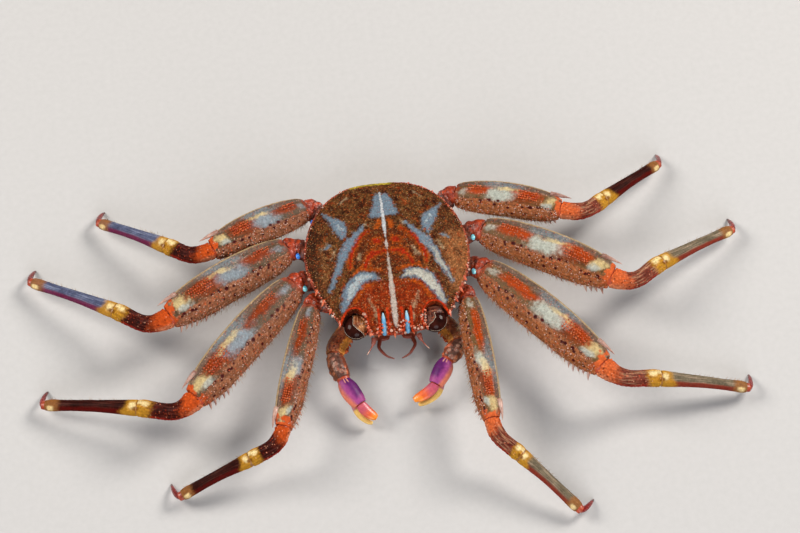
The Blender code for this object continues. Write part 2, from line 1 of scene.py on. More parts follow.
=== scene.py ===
# Flat rock crab, life size: finishes, fine forms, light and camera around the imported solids.
# Shapes are worked out in millimetres in the crab's own frame: it faces -Y, its own left is +X,
# and the origin lies on the floor under the middle of its shell.
import bpy
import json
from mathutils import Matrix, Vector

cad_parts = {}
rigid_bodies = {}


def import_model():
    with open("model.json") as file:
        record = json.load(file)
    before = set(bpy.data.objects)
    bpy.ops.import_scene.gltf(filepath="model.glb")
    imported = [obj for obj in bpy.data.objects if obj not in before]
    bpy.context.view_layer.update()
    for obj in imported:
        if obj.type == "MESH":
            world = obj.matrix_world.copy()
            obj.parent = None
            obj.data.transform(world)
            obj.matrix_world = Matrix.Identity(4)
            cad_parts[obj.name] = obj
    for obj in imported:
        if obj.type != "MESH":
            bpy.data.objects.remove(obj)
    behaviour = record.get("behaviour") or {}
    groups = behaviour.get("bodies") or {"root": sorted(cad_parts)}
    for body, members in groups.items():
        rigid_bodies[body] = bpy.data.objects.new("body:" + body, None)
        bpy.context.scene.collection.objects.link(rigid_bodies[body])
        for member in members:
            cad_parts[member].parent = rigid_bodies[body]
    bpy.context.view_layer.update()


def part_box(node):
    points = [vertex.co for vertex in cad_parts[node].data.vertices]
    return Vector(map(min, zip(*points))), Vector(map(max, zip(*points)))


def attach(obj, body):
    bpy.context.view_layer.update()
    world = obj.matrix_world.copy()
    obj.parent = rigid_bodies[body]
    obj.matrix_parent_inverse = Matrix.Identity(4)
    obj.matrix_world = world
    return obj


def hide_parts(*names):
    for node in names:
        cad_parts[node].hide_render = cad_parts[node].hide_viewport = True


for leftover in list(bpy.data.objects):
    bpy.data.objects.remove(leftover)
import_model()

import json
import math
import random

import numpy as np
from mathutils import Matrix, Vector, noise

mm = 0.001
shieldLow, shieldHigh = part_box("carapace")
shieldRear = 15.4  # rear edge of the shell in the crab's own frame
middle = Vector(((shieldLow.x + shieldHigh.x) / 2, shieldHigh.y - shieldRear * mm, 0.0))
sides = {"left": 1.0, "right": -1.0}
chance = random.Random(11)

# What every helper below shares


def toFrame(point):
    return middle + Vector(point) * mm


def mirrored(side, point):
    return Vector((sides[side] * point[0], point[1], point[2]))


def heading(side, degrees, pitch=0.0):
    turn, rise = math.radians(degrees), math.radians(pitch)
    flat = math.cos(rise)
    return Vector((sides[side] * math.sin(turn) * flat, -math.cos(turn) * flat, math.sin(rise)))


def ease(values, low, high):
    share = np.clip((values - low) / (high - low), 0.0, 1.0)
    return share * share * (3.0 - 2.0 * share)


def between(values, low, high, soft):
    return ease(values, low - soft, low + soft) * (1.0 - ease(values, high - soft, high + soft))


def pick(piece):
    bpy.ops.object.select_all(action="DESELECT")
    piece.select_set(True)
    bpy.context.view_layer.objects.active = piece


def applied(piece, kind, **settings):
    step = piece.modifiers.new(kind.lower(), kind)
    for key, value in settings.items():
        setattr(step, key, value)
    pick(piece)
    bpy.ops.object.modifier_apply(modifier=step.name)


def subdivided(piece, rounds):
    applied(piece, "SUBSURF", levels=rounds, render_levels=rounds)


def editing(piece):
    pick(piece)
    bpy.ops.object.mode_set(mode="EDIT")
    bpy.ops.mesh.select_all(action="SELECT")


def objectMode():
    bpy.ops.object.mode_set(mode="OBJECT")


def primitive(add, **settings):
    # A basic form, with its place and size applied to its mesh.
    bpy.ops.object.select_all(action="DESELECT")
    add(**settings)
    bpy.ops.object.transform_apply(location=True, rotation=True, scale=True)
    return bpy.context.object


def extruded(move, size, centre):
    # The selected face is extruded and then resized about the centre.
    bpy.ops.mesh.extrude_region_move(TRANSFORM_OT_translate={"value": move})
    bpy.ops.transform.resize(value=size, center_override=centre)


def facedOut(piece):
    editing(piece)
    bpy.ops.mesh.normals_make_consistent(inside=False)
    objectMode()


def crabPoints(piece):
    # The piece's points in the crab's own millimetres.
    flat = np.empty(len(piece.data.vertices) * 3)
    piece.data.vertices.foreach_get("co", flat)
    return (flat.reshape(-1, 3) - np.array(middle)) / mm


def movePoints(piece, points):
    piece.data.vertices.foreach_set("co", (points * mm + np.array(middle)).ravel())
    piece.data.update()


def pointNormals(piece):
    flat = np.empty(len(piece.data.vertices) * 3)
    piece.data.vertex_normals.foreach_get("vector", flat)
    return flat.reshape(-1, 3)


def swell(piece, heights):
    movePoints(piece, crabPoints(piece) + pointNormals(piece) * heights[:, None])


def mark(piece, **zones):
    # Each zone of colour is an attribute of the mesh, from 0 to 1.
    for name, values in zones.items():
        kind = "FLOAT" if values.ndim == 1 else "FLOAT_VECTOR"
        layer = piece.data.attributes.new(name, kind, "POINT")
        layer.data.foreach_set("value" if kind == "FLOAT" else "vector", np.asarray(values, dtype=np.float32).ravel())


def wander(points, size, seed=0.0):
    # Soft noise over the points, about -1 to 1, with features of the given size.
    return np.array([noise.noise(Vector(p) / size + Vector((seed, seed, seed))) for p in points])


def pebbles(points, size):
    # 1 at the top of each granule and 0 between them.
    near = np.array([noise.voronoi(Vector(p) / size)[0][0] for p in points])
    return 1.0 - np.clip(near / 0.55, 0.0, 1.0) ** 2


def finished(piece, name, slot, finish, *nodes):
    piece.name = name
    piece.data.name = name
    piece.data.materials.clear()
    piece.data.materials.append(finish)
    pick(piece)
    bpy.ops.object.shade_smooth()
    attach(piece, "root")
    if nodes:
        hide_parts(*nodes)
    return piece


# Smooth paths and limbs grown along them


def bezier(start, startWay, end, endWay, pull, endPull):
    reach = (end - start).length
    a, b, c, d = start, start + startWay * reach * pull, end - endWay * reach * endPull, end

    def place(t):
        s = 1.0 - t
        return a * s**3 + b * 3 * s * s * t + c * 3 * s * t * t + d * t**3

    def way(t):
        s = 1.0 - t
        return ((b - a) * s * s + (c - b) * 2 * s * t + (d - c) * t * t).normalized()

    return place, way


def curved(p, q, r, s, u):
    # The point at share u of a smooth curve from q to r, where p lies before and s after them.
    return (q * 2 + (r - p) * u + (p * 2 - q * 5 + r * 4 - s) * u**2 + (q * 3 - p - r * 3 + s) * u**3) / 2


def through(points, startWay=None):
    first = points[1] - points[0]
    before = points[1] - (startWay * first.length * 2 if startWay else first * 2)
    ends = [before, *points, points[-1] * 2 - points[-2]]
    spans = len(points) - 1

    def place(t):
        span = min(int(t * spans), spans - 1)
        return curved(*ends[span:span + 4], t * spans - span)

    def way(t):
        step = 0.002
        return (place(min(t + step, 1.0)) - place(max(t - step, 0.0))).normalized()

    return place, way


def sidePath(side, points):
    return through([mirrored(side, p) for p in points])


def acrossLimb(way, side, lean):
    up = (Vector((0, 0, 1)) - way * way.z).normalized()
    fore = way.cross(up) * sides[side]
    turn = math.radians(lean)
    return fore * math.cos(turn) - up * math.sin(turn), up * math.cos(turn) + fore * math.sin(turn)


def roundSection(count, power=1.0):
    ring = []
    for i in range(count):
        turn = 2 * math.pi * (i + 0.5) / count
        x, y = math.cos(turn), math.sin(turn)
        ring.append((math.copysign(abs(x) ** power, x), math.copysign(abs(y) ** power, y)))
    return ring


def columns(*axes):
    return Matrix(axes).transposed()


def evenStations(stations, length):
    # More rings between the given ones, and one close to each end so that the ends stay crisp.
    knots = [s[0] for s in stations]
    edge = 0.14 / length
    shares = sorted({0.0, edge, 1.0 - edge, 1.0, *[s for s in knots if 2 * edge < s < 1 - 2 * edge]})
    steps = [shares[0]]
    for s in shares[1:]:
        parts = max(1, round((s - steps[-1]) * length / 1.9))
        steps += [steps[-1] + (s - steps[-1]) * (k + 1) / parts for k in range(parts)]
    return [(s, *[float(np.interp(s, knots, [row[k] for row in stations])) for k in (1, 2)]) for s in steps]


def grownLimb(path, side, section, stations, lean=(0.0, 0.0), rounds=2, frameOf=acrossLimb):
    # A circle shaped to the limb's section, then extruded, turned and sized from station to station.
    place, way = path
    length = sum((place((i + 1) / 20) - place(i / 20)).length for i in range(20))
    rings = []
    for t, width, depth in evenStations(stations, length):
        fore, up = frameOf(way(t), side, lean[0] + (lean[1] - lean[0]) * t)
        rings.append((toFrame(place(t)), fore, up, width * mm / 2, depth * mm / 2))
    for share in (0.9, 0.55):  # closed ends, drawn in on themselves
        for slot, (c, f, u, w, d) in ((0, rings[0]), (len(rings) + 1, rings[-1])):
            rings.insert(slot, (c, f, u, w * share, d * share))
    centre, fore, up, wide, deep = rings[0]
    bpy.ops.object.select_all(action="DESELECT")
    bpy.ops.mesh.primitive_circle_add(vertices=len(section), radius=wide, fill_type="NGON", location=centre)
    limb = bpy.context.object
    for corner, (x, y) in zip(limb.data.vertices, section):
        corner.co = fore * (x * wide) + up * (y * deep)
    bpy.ops.object.transform_apply(location=True, rotation=True, scale=True)
    editing(limb)
    for (c0, f0, u0, w0, d0), (c1, f1, u1, w1, d1) in zip(rings, rings[1:]):
        bpy.ops.mesh.extrude_region_move(TRANSFORM_OT_translate={"value": c1 - c0})
        turn = columns(f1, u1, f1.cross(u1)) @ columns(f0, u0, f0.cross(u0)).transposed()
        axis, angle = turn.to_quaternion().to_axis_angle()
        if abs(angle) > 1e-5:
            beside = axis.orthogonal().normalized()
            bpy.ops.transform.rotate(
                value=angle, orient_axis="Z", orient_type="GLOBAL", orient_matrix_type="GLOBAL",
                orient_matrix=columns(beside, axis.cross(beside), axis),
                constraint_axis=(False, False, True), center_override=c1)
        bpy.ops.transform.resize(
            value=(w1 / w0, d1 / d0, 1.0), orient_type="GLOBAL", orient_matrix_type="GLOBAL",
            orient_matrix=columns(f1, u1, f1.cross(u1)), center_override=c1)
    objectMode()
    subdivided(limb, rounds)
    facedOut(limb)
    return limb


def enlarged(stations, wide=1.04, deep=1.04):
    # Makes up for what rounding takes off a limb.
    return [(t, width * wide, depth * deep) for t, width, depth in stations]


def limbPlaces(piece, path, side, stations, lean=(0.0, 0.0), frameOf=acrossLimb):
    # Where each point lies: its share of the length, then across (front is 1) and up in the section.
    place, way = path
    count = 160
    shares = [i / count for i in range(count + 1)]
    centres = np.array([place(t) for t in shares])
    ways = np.array([way(t) for t in shares])
    frames = [frameOf(way(t), side, lean[0] + (lean[1] - lean[0]) * t) for t in shares]
    fores, ups = np.array([f for f, _ in frames]), np.array([u for _, u in frames])
    length = np.linalg.norm(centres[1:] - centres[:-1], axis=1).sum()
    points = crabPoints(piece)
    nearest = np.concatenate([
        np.linalg.norm(block[:, None] - centres[None], axis=2).argmin(axis=1)
        for block in np.array_split(points, max(1, len(points) // 4000))])
    offset = points - centres[nearest]
    along = np.array(shares)[nearest] + (offset * ways[nearest]).sum(axis=1) / length
    knots = [s[0] for s in stations]
    width = np.interp(along, knots, [s[1] / 2 for s in stations])
    depth = np.interp(along, knots, [s[2] / 2 for s in stations])
    fore = (offset * fores[nearest]).sum(axis=1) / width
    rise = (offset * ups[nearest]).sum(axis=1) / depth
    return along, fore, rise, length


# Many small forms: one is modelled, then copied over the places given


def scattered(seedPiece, places, skinPlace=None):
    # Each place is a point in millimetres and the axes, already sized, of the small form there.
    shape = seedPiece.data
    corners = np.array([v.co for v in shape.vertices])
    loops = [tuple(face.vertices) for face in shape.polygons]
    points, faces = [], []
    for i, (where, axes) in enumerate(places):
        points.append(corners @ np.array(axes) + np.array(where))
        start = i * len(corners)
        faces += [tuple(start + v for v in loop) for loop in loops]
    mesh = bpy.data.meshes.new("small_forms")
    mesh.from_pydata((np.concatenate(points) * mm + np.array(middle)).tolist(), [], faces)
    if skinPlace:
        patch = 0.003
        low, high = corners.min(axis=0), corners.max(axis=0)
        own = (corners - low) / np.maximum(high - low, 1e-9) * patch
        coat = mesh.uv_layers.new(name="OFBake")
        spread = []
        for u, v in skinPlace:
            for loop in loops:
                spread += [(u + own[i][0], v + own[i][2]) for i in loop]
        coat.data.foreach_set("uv", np.array(spread).ravel())
    piece = bpy.data.objects.new("small_forms", mesh)
    bpy.context.scene.collection.objects.link(piece)
    return piece


def standing(way, lean, length, width):
    # Axes for a small form whose own +Z points along the given way and that bends towards the lean.
    way = way.normalized()
    aside = lean.cross(way)
    aside = aside.normalized() if aside.length > 1e-4 else way.orthogonal().normalized()
    return (aside * width, way.cross(aside) * width, way * length)


def removed(piece):
    bpy.data.objects.remove(piece)


def tapered(corners, steps, name):
    # A unit spike along +Z: a circle extruded and narrowed; each step is height, radius and bend.
    spike = primitive(bpy.ops.mesh.primitive_circle_add, vertices=corners, radius=steps[0][1], fill_type="NGON")
    editing(spike)
    for (z0, r0, b0), (z1, r1, b1) in zip(steps, steps[1:]):
        extruded((0, b1 - b0, z1 - z0), (r1 / r0, r1 / r0, 1), (0, b1, z1))
    bpy.ops.mesh.normals_make_consistent(inside=False)
    objectMode()
    spike.name = name
    return spike


# Materials


def toLinear(tone):
    parts = [int(tone[i:i + 2], 16) / 255 for i in (1, 3, 5)]
    return (*[p / 12.92 if p <= 0.04045 else ((p + 0.055) / 1.055) ** 2.4 for p in parts], 1.0)


def addNode(tree, kind, settings=None, links=None):
    node = tree.nodes.new("ShaderNode" + kind)
    for key, value in (settings or {}).items():
        if isinstance(key, str) and hasattr(node, key):
            setattr(node, key, value)
        else:
            node.inputs[key].default_value = value
    for key, source in (links or {}).items():
        tree.links.new(source, node.inputs[key])
    return node


def reckoned(tree, operation, *terms):
    # A Math node; its terms are numbers or outputs of other nodes.
    given = {i: term for i, term in enumerate(terms) if isinstance(term, (int, float))}
    linked = {i: term for i, term in enumerate(terms) if i not in given}
    return addNode(tree, "Math", {"operation": operation, **given}, linked).outputs[0]


def ranged(tree, value, low=0.0, high=1.0, toLow=0.0, toHigh=1.0, curve="LINEAR"):
    return addNode(tree, "MapRange", {"interpolation_type": curve, "From Min": low, "From Max": high,
                                      "To Min": toLow, "To Max": toHigh}, {"Value": value}).outputs["Result"]


def laidOver(tree, colour, tone, cover):
    return addNode(tree, "Mix", {"data_type": "RGBA", 7: toLinear(tone)}, {0: cover, 6: colour}).outputs[2]


def clouds(tree, where, scale, **settings):
    return addNode(tree, "TexNoise", {"Scale": scale, **settings}, {"Vector": where}).outputs["Fac"]


def attribute(tree, name, output="Fac"):
    return addNode(tree, "Attribute", {"attribute_name": name}).outputs[output]


def setInputs(shader, values):
    for name, value in values.items():
        shader.inputs[name].default_value = value


def newMaterial(name):
    finish = bpy.data.materials.new(name)
    finish.use_nodes = True
    tree = finish.node_tree
    return finish, tree, tree.nodes["Principled BSDF"], addNode(tree, "TexCoord").outputs["Object"]


def blended(tree, colour, zones, torn, edgeAt, soft):
    # Lays each zone's colour over the last, with a torn and softened edge.
    fullFrom = 1 / 8  # below this share of a zone its cover is held back, so that nothing shows outside
    for zone, tone in zones.items():
        tone, most = tone if isinstance(tone, tuple) else (tone, 1.0)
        mask = attribute(tree, zone)
        shown = ranged(tree, reckoned(tree, "ADD", torn, mask), edgeAt - soft, edgeAt + soft, 0.0, most, "SMOOTHSTEP")
        near = reckoned(tree, "MULTIPLY", mask, 1 / fullFrom)
        colour = laidOver(tree, colour, tone, reckoned(tree, "MINIMUM", shown, near))
    return colour


def flecked(tree, colour, flecks, draw, dab):
    # Small dabs of colour: each cell is drawn for at most one of them.
    low = 0.0
    for tone, share, most in flecks:
        above = reckoned(tree, "GREATER_THAN", draw, low)
        below = reckoned(tree, "LESS_THAN", draw, low + share)
        spot = reckoned(tree, "MULTIPLY", reckoned(tree, "MULTIPLY", above, below), dab)
        colour = laidOver(tree, colour, tone, reckoned(tree, "MULTIPLY", spot, most))
        low += share
    return colour


# What most finishes share. Sizes are in millimetres; ground, mottles, lines, flecks, zones and
# overFlecks lie over the body's colours in this order.
usualLook = {
    "ground": {}, "mottles": (), "lines": (), "flecks": (), "zones": {}, "overFlecks": (), "granuleLightShade": (),
    "grain": 0.4, "broad": 2.4, "ragged": 0.5, "soft": 0.32, "stipple": 0.0, "specks": 0.5,
    "speckled": (0.8, 1.1), "shaded": (0.85, 1.15), "beaded": 0.1, "relief": 0.01, "rough": (0.3, 0.45),
    "coat": 0.25, "coatRough": 0.12, "gleam": 0.35, "glow": 0.0,
}
usualNoise = (0.3, 0.7)  # the range in which most of a noise texture's values lie
chitinIor, waterIor = 1.54, 1.33


def bodyColour(tree, broad, stops):
    ramp = addNode(tree, "ValToRGB", links={"Fac": broad})
    while len(ramp.color_ramp.elements) < len(stops):
        ramp.color_ramp.elements.new(0.5)
    for stop, (position, tone) in zip(ramp.color_ramp.elements, stops):
        stop.position = position
        stop.color = toLinear(tone)
    return ramp.outputs["Color"]


def combedLines(tree, colour, around, along, tone, share):
    # Fine lines that run along the limb.
    place = attribute(tree, "limbPlace", "Vector")
    combed = addNode(tree, "Mapping", {"Scale": (1 / along, 1 / around, 1 / around)}, {"Vector": place})
    line = clouds(tree, combed.outputs["Vector"], 1.0, Detail=2.0)
    return laidOver(tree, colour, tone, ranged(tree, line, 0.5, 0.68, 0.0, share))


def cuticle(name, given):
    # Crab cuticle: chitin hardened with lime, a little translucent, wet and fine grained.
    look = {**usualLook, **given}
    finish, tree, shader, where = newMaterial(name)
    grain = clouds(tree, where, 1 / (look["grain"] * mm), Detail=3.0, Roughness=0.6)
    broad = clouds(tree, where, 1 / (look["broad"] * mm), Detail=4.0)
    speck = addNode(tree, "TexVoronoi", {"Scale": 1 / (look["specks"] * mm), "Randomness": 1.0}, {"Vector": where})
    drawA, drawB, drawC = addNode(tree, "SeparateColor", links={"Color": speck.outputs["Color"]}).outputs
    ragged, soft, stipple = look["ragged"], look["soft"], look["stipple"]
    cloudy = reckoned(tree, "MULTIPLY_ADD", drawC, stipple, reckoned(tree, "ADD", grain, broad))
    torn = reckoned(tree, "MULTIPLY", cloudy, ragged)
    edgeAt = ragged * (1.0 + stipple / 2) + 0.5
    colour = blended(tree, bodyColour(tree, broad, look["body"]), look["ground"], torn, edgeAt, soft)
    for size, tone, start, full, most in look["mottles"]:  # soft blotches
        cloud = clouds(tree, where, 1 / (size * mm), Detail=3.0, Roughness=0.65, Distortion=0.5)
        colour = laidOver(tree, colour, tone, ranged(tree, cloud, start, full, 0.0, most, "SMOOTHSTEP"))
    if look["lines"]:
        colour = combedLines(tree, colour, *look["lines"])
    dab = ranged(tree, speck.outputs["Distance"], 0.55, 0.2, curve="SMOOTHSTEP")
    colour = flecked(tree, colour, look["flecks"], drawA, dab)
    colour = blended(tree, colour, look["zones"], torn, edgeAt, soft)
    colour = flecked(tree, colour, look["overFlecks"], drawC, dab)
    depth = ranged(tree, drawB, 0.0, 1.0, *look["speckled"])
    shade = reckoned(tree, "MULTIPLY", depth, ranged(tree, grain, *usualNoise, *look["shaded"]))
    if look["granuleLightShade"]:  # painted highlight on each granule's top and painted shade between granules
        shade = reckoned(tree, "MULTIPLY", shade, ranged(tree, attribute(tree, "bead"), 0.0, 1.0, *look["granuleLightShade"]))
    colour = addNode(tree, "Mix", {"data_type": "RGBA", "blend_type": "MULTIPLY", 0: 1.0},
                     {6: colour, 7: shade}).outputs[2]
    tree.links.new(colour, shader.inputs["Base Color"])
    bump = reckoned(tree, "MULTIPLY_ADD", speck.outputs["Distance"], -look["beaded"], grain)
    raised = addNode(tree, "Bump", {"Strength": 1.0, "Distance": look["relief"] * mm}, {"Height": bump})
    tree.links.new(raised.outputs["Normal"], shader.inputs["Normal"])
    tree.links.new(ranged(tree, grain, *usualNoise, *look["rough"]), shader.inputs["Roughness"])
    setInputs(shader, {
        "IOR": chitinIor, "Specular IOR Level": look["gleam"],
        "Coat Weight": look["coat"], "Coat Roughness": look["coatRough"], "Coat IOR": waterIor,  # film of water
        "Subsurface Weight": look["glow"], "Subsurface Radius": (1.0, 0.45, 0.25), "Subsurface Scale": 0.6 * mm})
    return finish


# Camera and light, from symmetric points of the shell and the leg joints in the photograph

view = {"turn": 6.494, "pitch": 60.63, "aim": (2.284, -0.662, 5.0), "distance": 420.0, "lens": 103.4}


def setCamera():
    turn, pitch = math.radians(view["turn"]), math.radians(view["pitch"])
    way = Vector((math.sin(turn) * math.cos(pitch), math.cos(turn) * math.cos(pitch), -math.sin(pitch)))
    lens = bpy.data.cameras.new("photo_view")
    lens.lens = view["lens"]
    lens.sensor_width = 36.0
    lens.clip_start = 0.01
    lens.clip_end = 20.0
    camera = bpy.data.objects.new("photo_view", lens)
    camera.location = toFrame(view["aim"]) - way * view["distance"] * mm
    camera.rotation_euler = way.to_track_quat("-Z", "Y").to_euler()
    bpy.context.scene.collection.objects.link(camera)
    bpy.context.scene.camera = camera


lights = {  # one soft lamp on each side, as for photographing glossy things: place, size in metres, watts, tone
    "right": ((0.50, 0.22, 0.46), 0.30, 5.4, "#FFF8F0"),
    "left": ((-0.52, 0.18, 0.46), 0.36, 4.6, "#FFF8F0"),
    "front": ((0.04, -0.62, 0.34), 0.50, 3.6, "#F4F4F8"),
}


def setLights():
    for name, (place, size, power, tone) in lights.items():
        lamp = bpy.data.lights.new(name, "AREA")
        lamp.shape = "DISK"
        lamp.size = size
        lamp.energy = power
        lamp.color = toLinear(tone)[:3]
        holder = bpy.data.objects.new(name, lamp)
        holder.location = place
        holder.rotation_euler = (-Vector(place)).to_track_quat("-Z", "Y").to_euler()
        bpy.context.scene.collection.objects.link(holder)
    world = bpy.data.worlds.new("studio")
    world.use_nodes = True
    world.node_tree.nodes["Background"].inputs["Color"].default_value = toLinear("#E8ECF0")
    world.node_tree.nodes["Background"].inputs["Strength"].default_value = 0.2
    bpy.context.scene.world = world
    bpy.context.scene.view_settings.view_transform = "Standard"


def setFloor():
    # Matt studio paper: pale, with a faint tooth.
    finish, tree, shader, where = newMaterial("studio_paper")
    tone = ranged(tree, clouds(tree, where, 900.0, Detail=4.0), 0.0, 1.0, 0.42, 0.47)
    tree.links.new(tone, shader.inputs["Base Color"])
    shader.inputs["Roughness"].default_value = 0.9
    floor = primitive(bpy.ops.mesh.primitive_plane_add, size=6.0)
    floor.name = "floor"
    floor.data.materials.append(finish)


setCamera()
setLights()
setFloor()
print("camera, light and floor set")

# Small forms used all over: a granule, a thorn and a bristle

granule = tapered(6, [(-0.4, 0.95, 0), (0.15, 0.98, 0), (0.62, 0.72, 0), (0.9, 0.3, 0)], "granule")
thorn = tapered(6, [(-0.25, 1.05, 0), (0.0, 1.0, 0), (0.3, 0.78, 0.04), (0.6, 0.5, 0.14), (0.85, 0.24, 0.3),
                    (1.0, 0.05, 0.45)], "thorn")
bristle = tapered(3, [(-0.1, 1.0, 0), (0.35, 0.8, 0.6), (0.7, 0.5, 1.9), (1.0, 0.08, 3.6)], "bristle")

emberHorn = cuticle("ember_horn", {
    "body": [(0.3, "#9A300C"), (0.5, "#B84A18"), (0.7, "#CC7440")], "grain": 0.6, "broad": 0.8,
    "rough": (0.34, 0.48), "coat": 0.1})
thornHorn = cuticle("thorn_horn", {
    "body": [(0.3, "#8A5E50"), (0.7, "#C09E90")], "specks": 0.3, "speckled": (0.8, 1.0), "shaded": (0.85, 1.1),
    "beaded": 0.2, "relief": 0.02, "rough": (0.25, 0.4), "glow": 0.3})
granuleHorn = cuticle("granule_horn", {
    "body": [(0.3, "#9A6450"), (0.5, "#BC8C78"), (0.7, "#DCC0B2")], "grain": 0.9, "broad": 0.8,
    "speckled": (0.7, 1.05), "shaded": (0.85, 1.1), "rough": (0.2, 0.35), "coat": 0.5})
setaHorn = cuticle("seta_horn", {
    "body": [(0.3, "#7A5A3A"), (0.7, "#C0A078")], "grain": 1.0, "shaded": (0.9, 1.1), "beaded": 0.0,
    "rough": (0.4, 0.6), "coat": 0.0})

# Shell of the back

shell = {
    "outline": [(0.0, 15.4), (5.2, 15.0), (9.4, 12.9), (12.3, 9.6), (14.2, 5.4), (15.0, 1.0), (14.6, -3.2),
                (13.2, -7.0), (11.7, -9.7), (10.3, -12.3), (9.3, -13.4), (5.6, -15.1), (1.7, -15.7), (0.0, -15.9)],
    "spokes": 96, "rimZ": 8.3, "frontRimZ": 7.5, "topZ": 11.2,
    "rings": (0.99, 0.965, 0.92, 0.86, 0.78, 0.68, 0.56, 0.42, 0.27, 0.12),
    "orbit": (7.35, -13.95, 9.5), "orbitRadii": (2.5, 3.15, 3.2), "orbitRim": (2.38, 2.98),
    "slitX": 2.1, "slitHalf": 0.6, "slitBack": -11.6, "slitFloor": 5.3, "slitNarrow": 0.5,
    "underside": ((0.4, 1.0), (0.3, 0.985), (0.5, 0.9), (0.3, 0.78)),  # drop and size of each ring
    # Grooves and swellings of the back: height, then middle and half width across and along.
    "hollows": ((-0.35, 5.6, 1.6, 1.8, 3.4), (0.25, 9.0, 2.6, 4.5, 5.0)),
    # The face below the front edge: x, y and z of one side's four corners.
    "face": ((5.7, -14.1, 4.6), (6.6, -14.7, 7.4), (4.4, -10.4, 4.6), (8.6, -10.4, 7.6)),
    "aboveAll": 13, "beforeAll": -18,  # ends of the slits' cutters, clear of the shell
    "voxel": 0.16,
    "granule": 0.42, "granuleHeight": 0.05, "bandHeight": 0.16, "rimHeight": 0.12, "marginHeight": 0.1,
    "unevenness": 0.06,
}
# Pale bands, each a line of x, y and half width; both sides alike.
paleBands = [
    [(10.9, 9.5, 0.05), (9.5, 7.6, 0.55), (8.2, 5.8, 1.25), (7.75, 4.1, 0.85), (7.75, 3.0, 0.2)],
    [(3.9, 5.1, 0.3), (5.3, 3.5, 0.45), (6.9, 1.5, 0.8), (8.2, -0.7, 0.8), (9.2, -3.0, 0.6), (10.2, -5.2, 0.42),
     (11.1, -6.9, 0.2)],
    [(1.9, -6.25, 0.1), (3.1, -5.5, 0.75), (5.1, -5.4, 1.0), (6.7, -6.55, 1.25), (7.9, -8.5, 1.0), (8.8, -10.2, 0.6),
     (9.3, -11.3, 0.15)],
    [(11.4, 1.6, 0.1), (10.2, 2.3, 0.1)],
]
rearPatch = [(6.7, 2.5), (7.6, 2.6), (8.8, 2.1), (10.9, 1.55), (12.9, 0.9)]  # y and half width
whiteCores = [
    [(3.4, -5.5, 0.2), (5.1, -5.5, 0.6), (6.7, -6.8, 0.7), (8.0, -9.2, 0.4)], [(8.4, 6.3, 0.1), (7.9, 5.0, 0.2)],
]
paleMottles = [  # small cream patches and lines between the bands
    [(4.5, -8.8, 0.02), (4.2, -10.0, 0.1), (3.6, -11.5, 0.2), (3.3, -12.8, 0.16), (3.2, -13.8, 0.05)],
    [(4.9, -0.4, 0.2), (5.4, -1.6, 0.36)], [(9.6, 0.6, 0.2), (10.2, -0.8, 0.15)],
    [(11.6, 1.6, 0.2), (10.6, 2.1, 0.2)], [(3.3, 5.4, 0.3), (3.9, 5.0, 0.3)], [(7.4, 11.4, 0.15), (6.2, 12.2, 0.15)],
]
orangeFringes = [  # warm edges beside the bands
    [(1.3, -4.5, 0.15), (3.4, -4.0, 0.35), (5.3, -3.6, 0.3), (6.6, -4.8, 0.2)],
    [(3.2, -6.9, 0.2), (4.9, -7.0, 0.3), (5.9, -8.3, 0.3), (6.7, -9.8, 0.3)],
    [(0.9, 6.0, 0.35), (1.4, 4.6, 0.4)],
]
redArches = [
    [(3.0, 4.0, 0.05), (3.7, 3.6, 0.14), (5.1, 2.4, 0.24), (6.1, 0.6, 0.28), (6.7, -1.2, 0.2), (7.0, -3.2, 0.05)],
    [(0.3, -0.5, 0.12), (1.8, -0.65, 0.22), (3.5, -1.6, 0.22), (4.3, -3.4, 0.12)],
    [(1.5, 1.7, 0.45), (2.1, 1.6, 0.4)], [(2.6, -0.6, 0.35), (2.9, -0.8, 0.3)],
]
medianLine = [(0.0, y, half) for y, half in (
    (12.8, 0.06), (9.1, 0.18), (6.4, 0.28), (4.6, 0.34), (3.1, 0.16), (1.9, 0.02), (0.8, 0.3), (-0.5, 0.04),
    (-2.4, 0.18), (-5.1, 0.3), (-7.9, 0.42), (-10.6, 0.52), (-13.1, 0.5), (-14.5, 0.3))]


def smoothOutline(points, count):
    half = [Vector((x, y, 0)) for x, y in points]
    loop = half + [Vector((-p.x, p.y, 0)) for p in reversed(half[1:-1])]
    total, fine = len(loop), []
    for i in range(total):
        p, q, r, s = (loop[(i + k) % total] for k in (-1, 0, 1, 2))
        fine += [curved(p, q, r, s, step / 12) for step in range(12)]
    ring = []
    for i in range(count):
        turn = 2 * math.pi * i / count
        ray = Vector((math.sin(turn), math.cos(turn), 0))
        best = None
        for a, b in zip(fine, fine[1:] + fine[:1]):
            sideA, sideB = ray.cross(a).z, ray.cross(b).z
            if sideA * sideB <= 0 and a.dot(ray) > 0 and sideA != sideB:
                best = a.lerp(b, sideA / (sideA - sideB)).dot(ray)
        ring.append(ray * best)
    return ring


def rimHeight(y):
    dip = min(max((-y - 8.0) / 8.0, 0.0), 1.0)
    return shell["rimZ"] + (shell["frontRimZ"] - shell["rimZ"]) * dip


def shieldHeight(x, y, fraction):
    rim = rimHeight(y)
    dome = rim + (shell["topZ"] - rim) * (1.0 - fraction**2.3) ** 0.8
    for height, atX, halfX, atY, halfY in shell["hollows"]:
        dome += height * math.exp(-(((abs(x) - atX) / halfX) ** 2) - ((y - atY) / halfY) ** 2)
    return dome


def lineCover(x, y, line):
    # How far inside a band of changing width each point is, in millimetres; below 0 outside.
    best = np.full(len(x), -9.0)
    for (ax, ay, aw), (bx, by, bw) in zip(line, line[1:]):
        dx, dy = bx - ax, by - ay
        share = np.clip(((x - ax) * dx + (y - ay) * dy) / (dx * dx + dy * dy), 0.0, 1.0)
        gap = np.hypot(x - ax - dx * share, y - ay - dy * share)
        best = np.maximum(best, aw + (bw - aw) * share - gap)
    return best


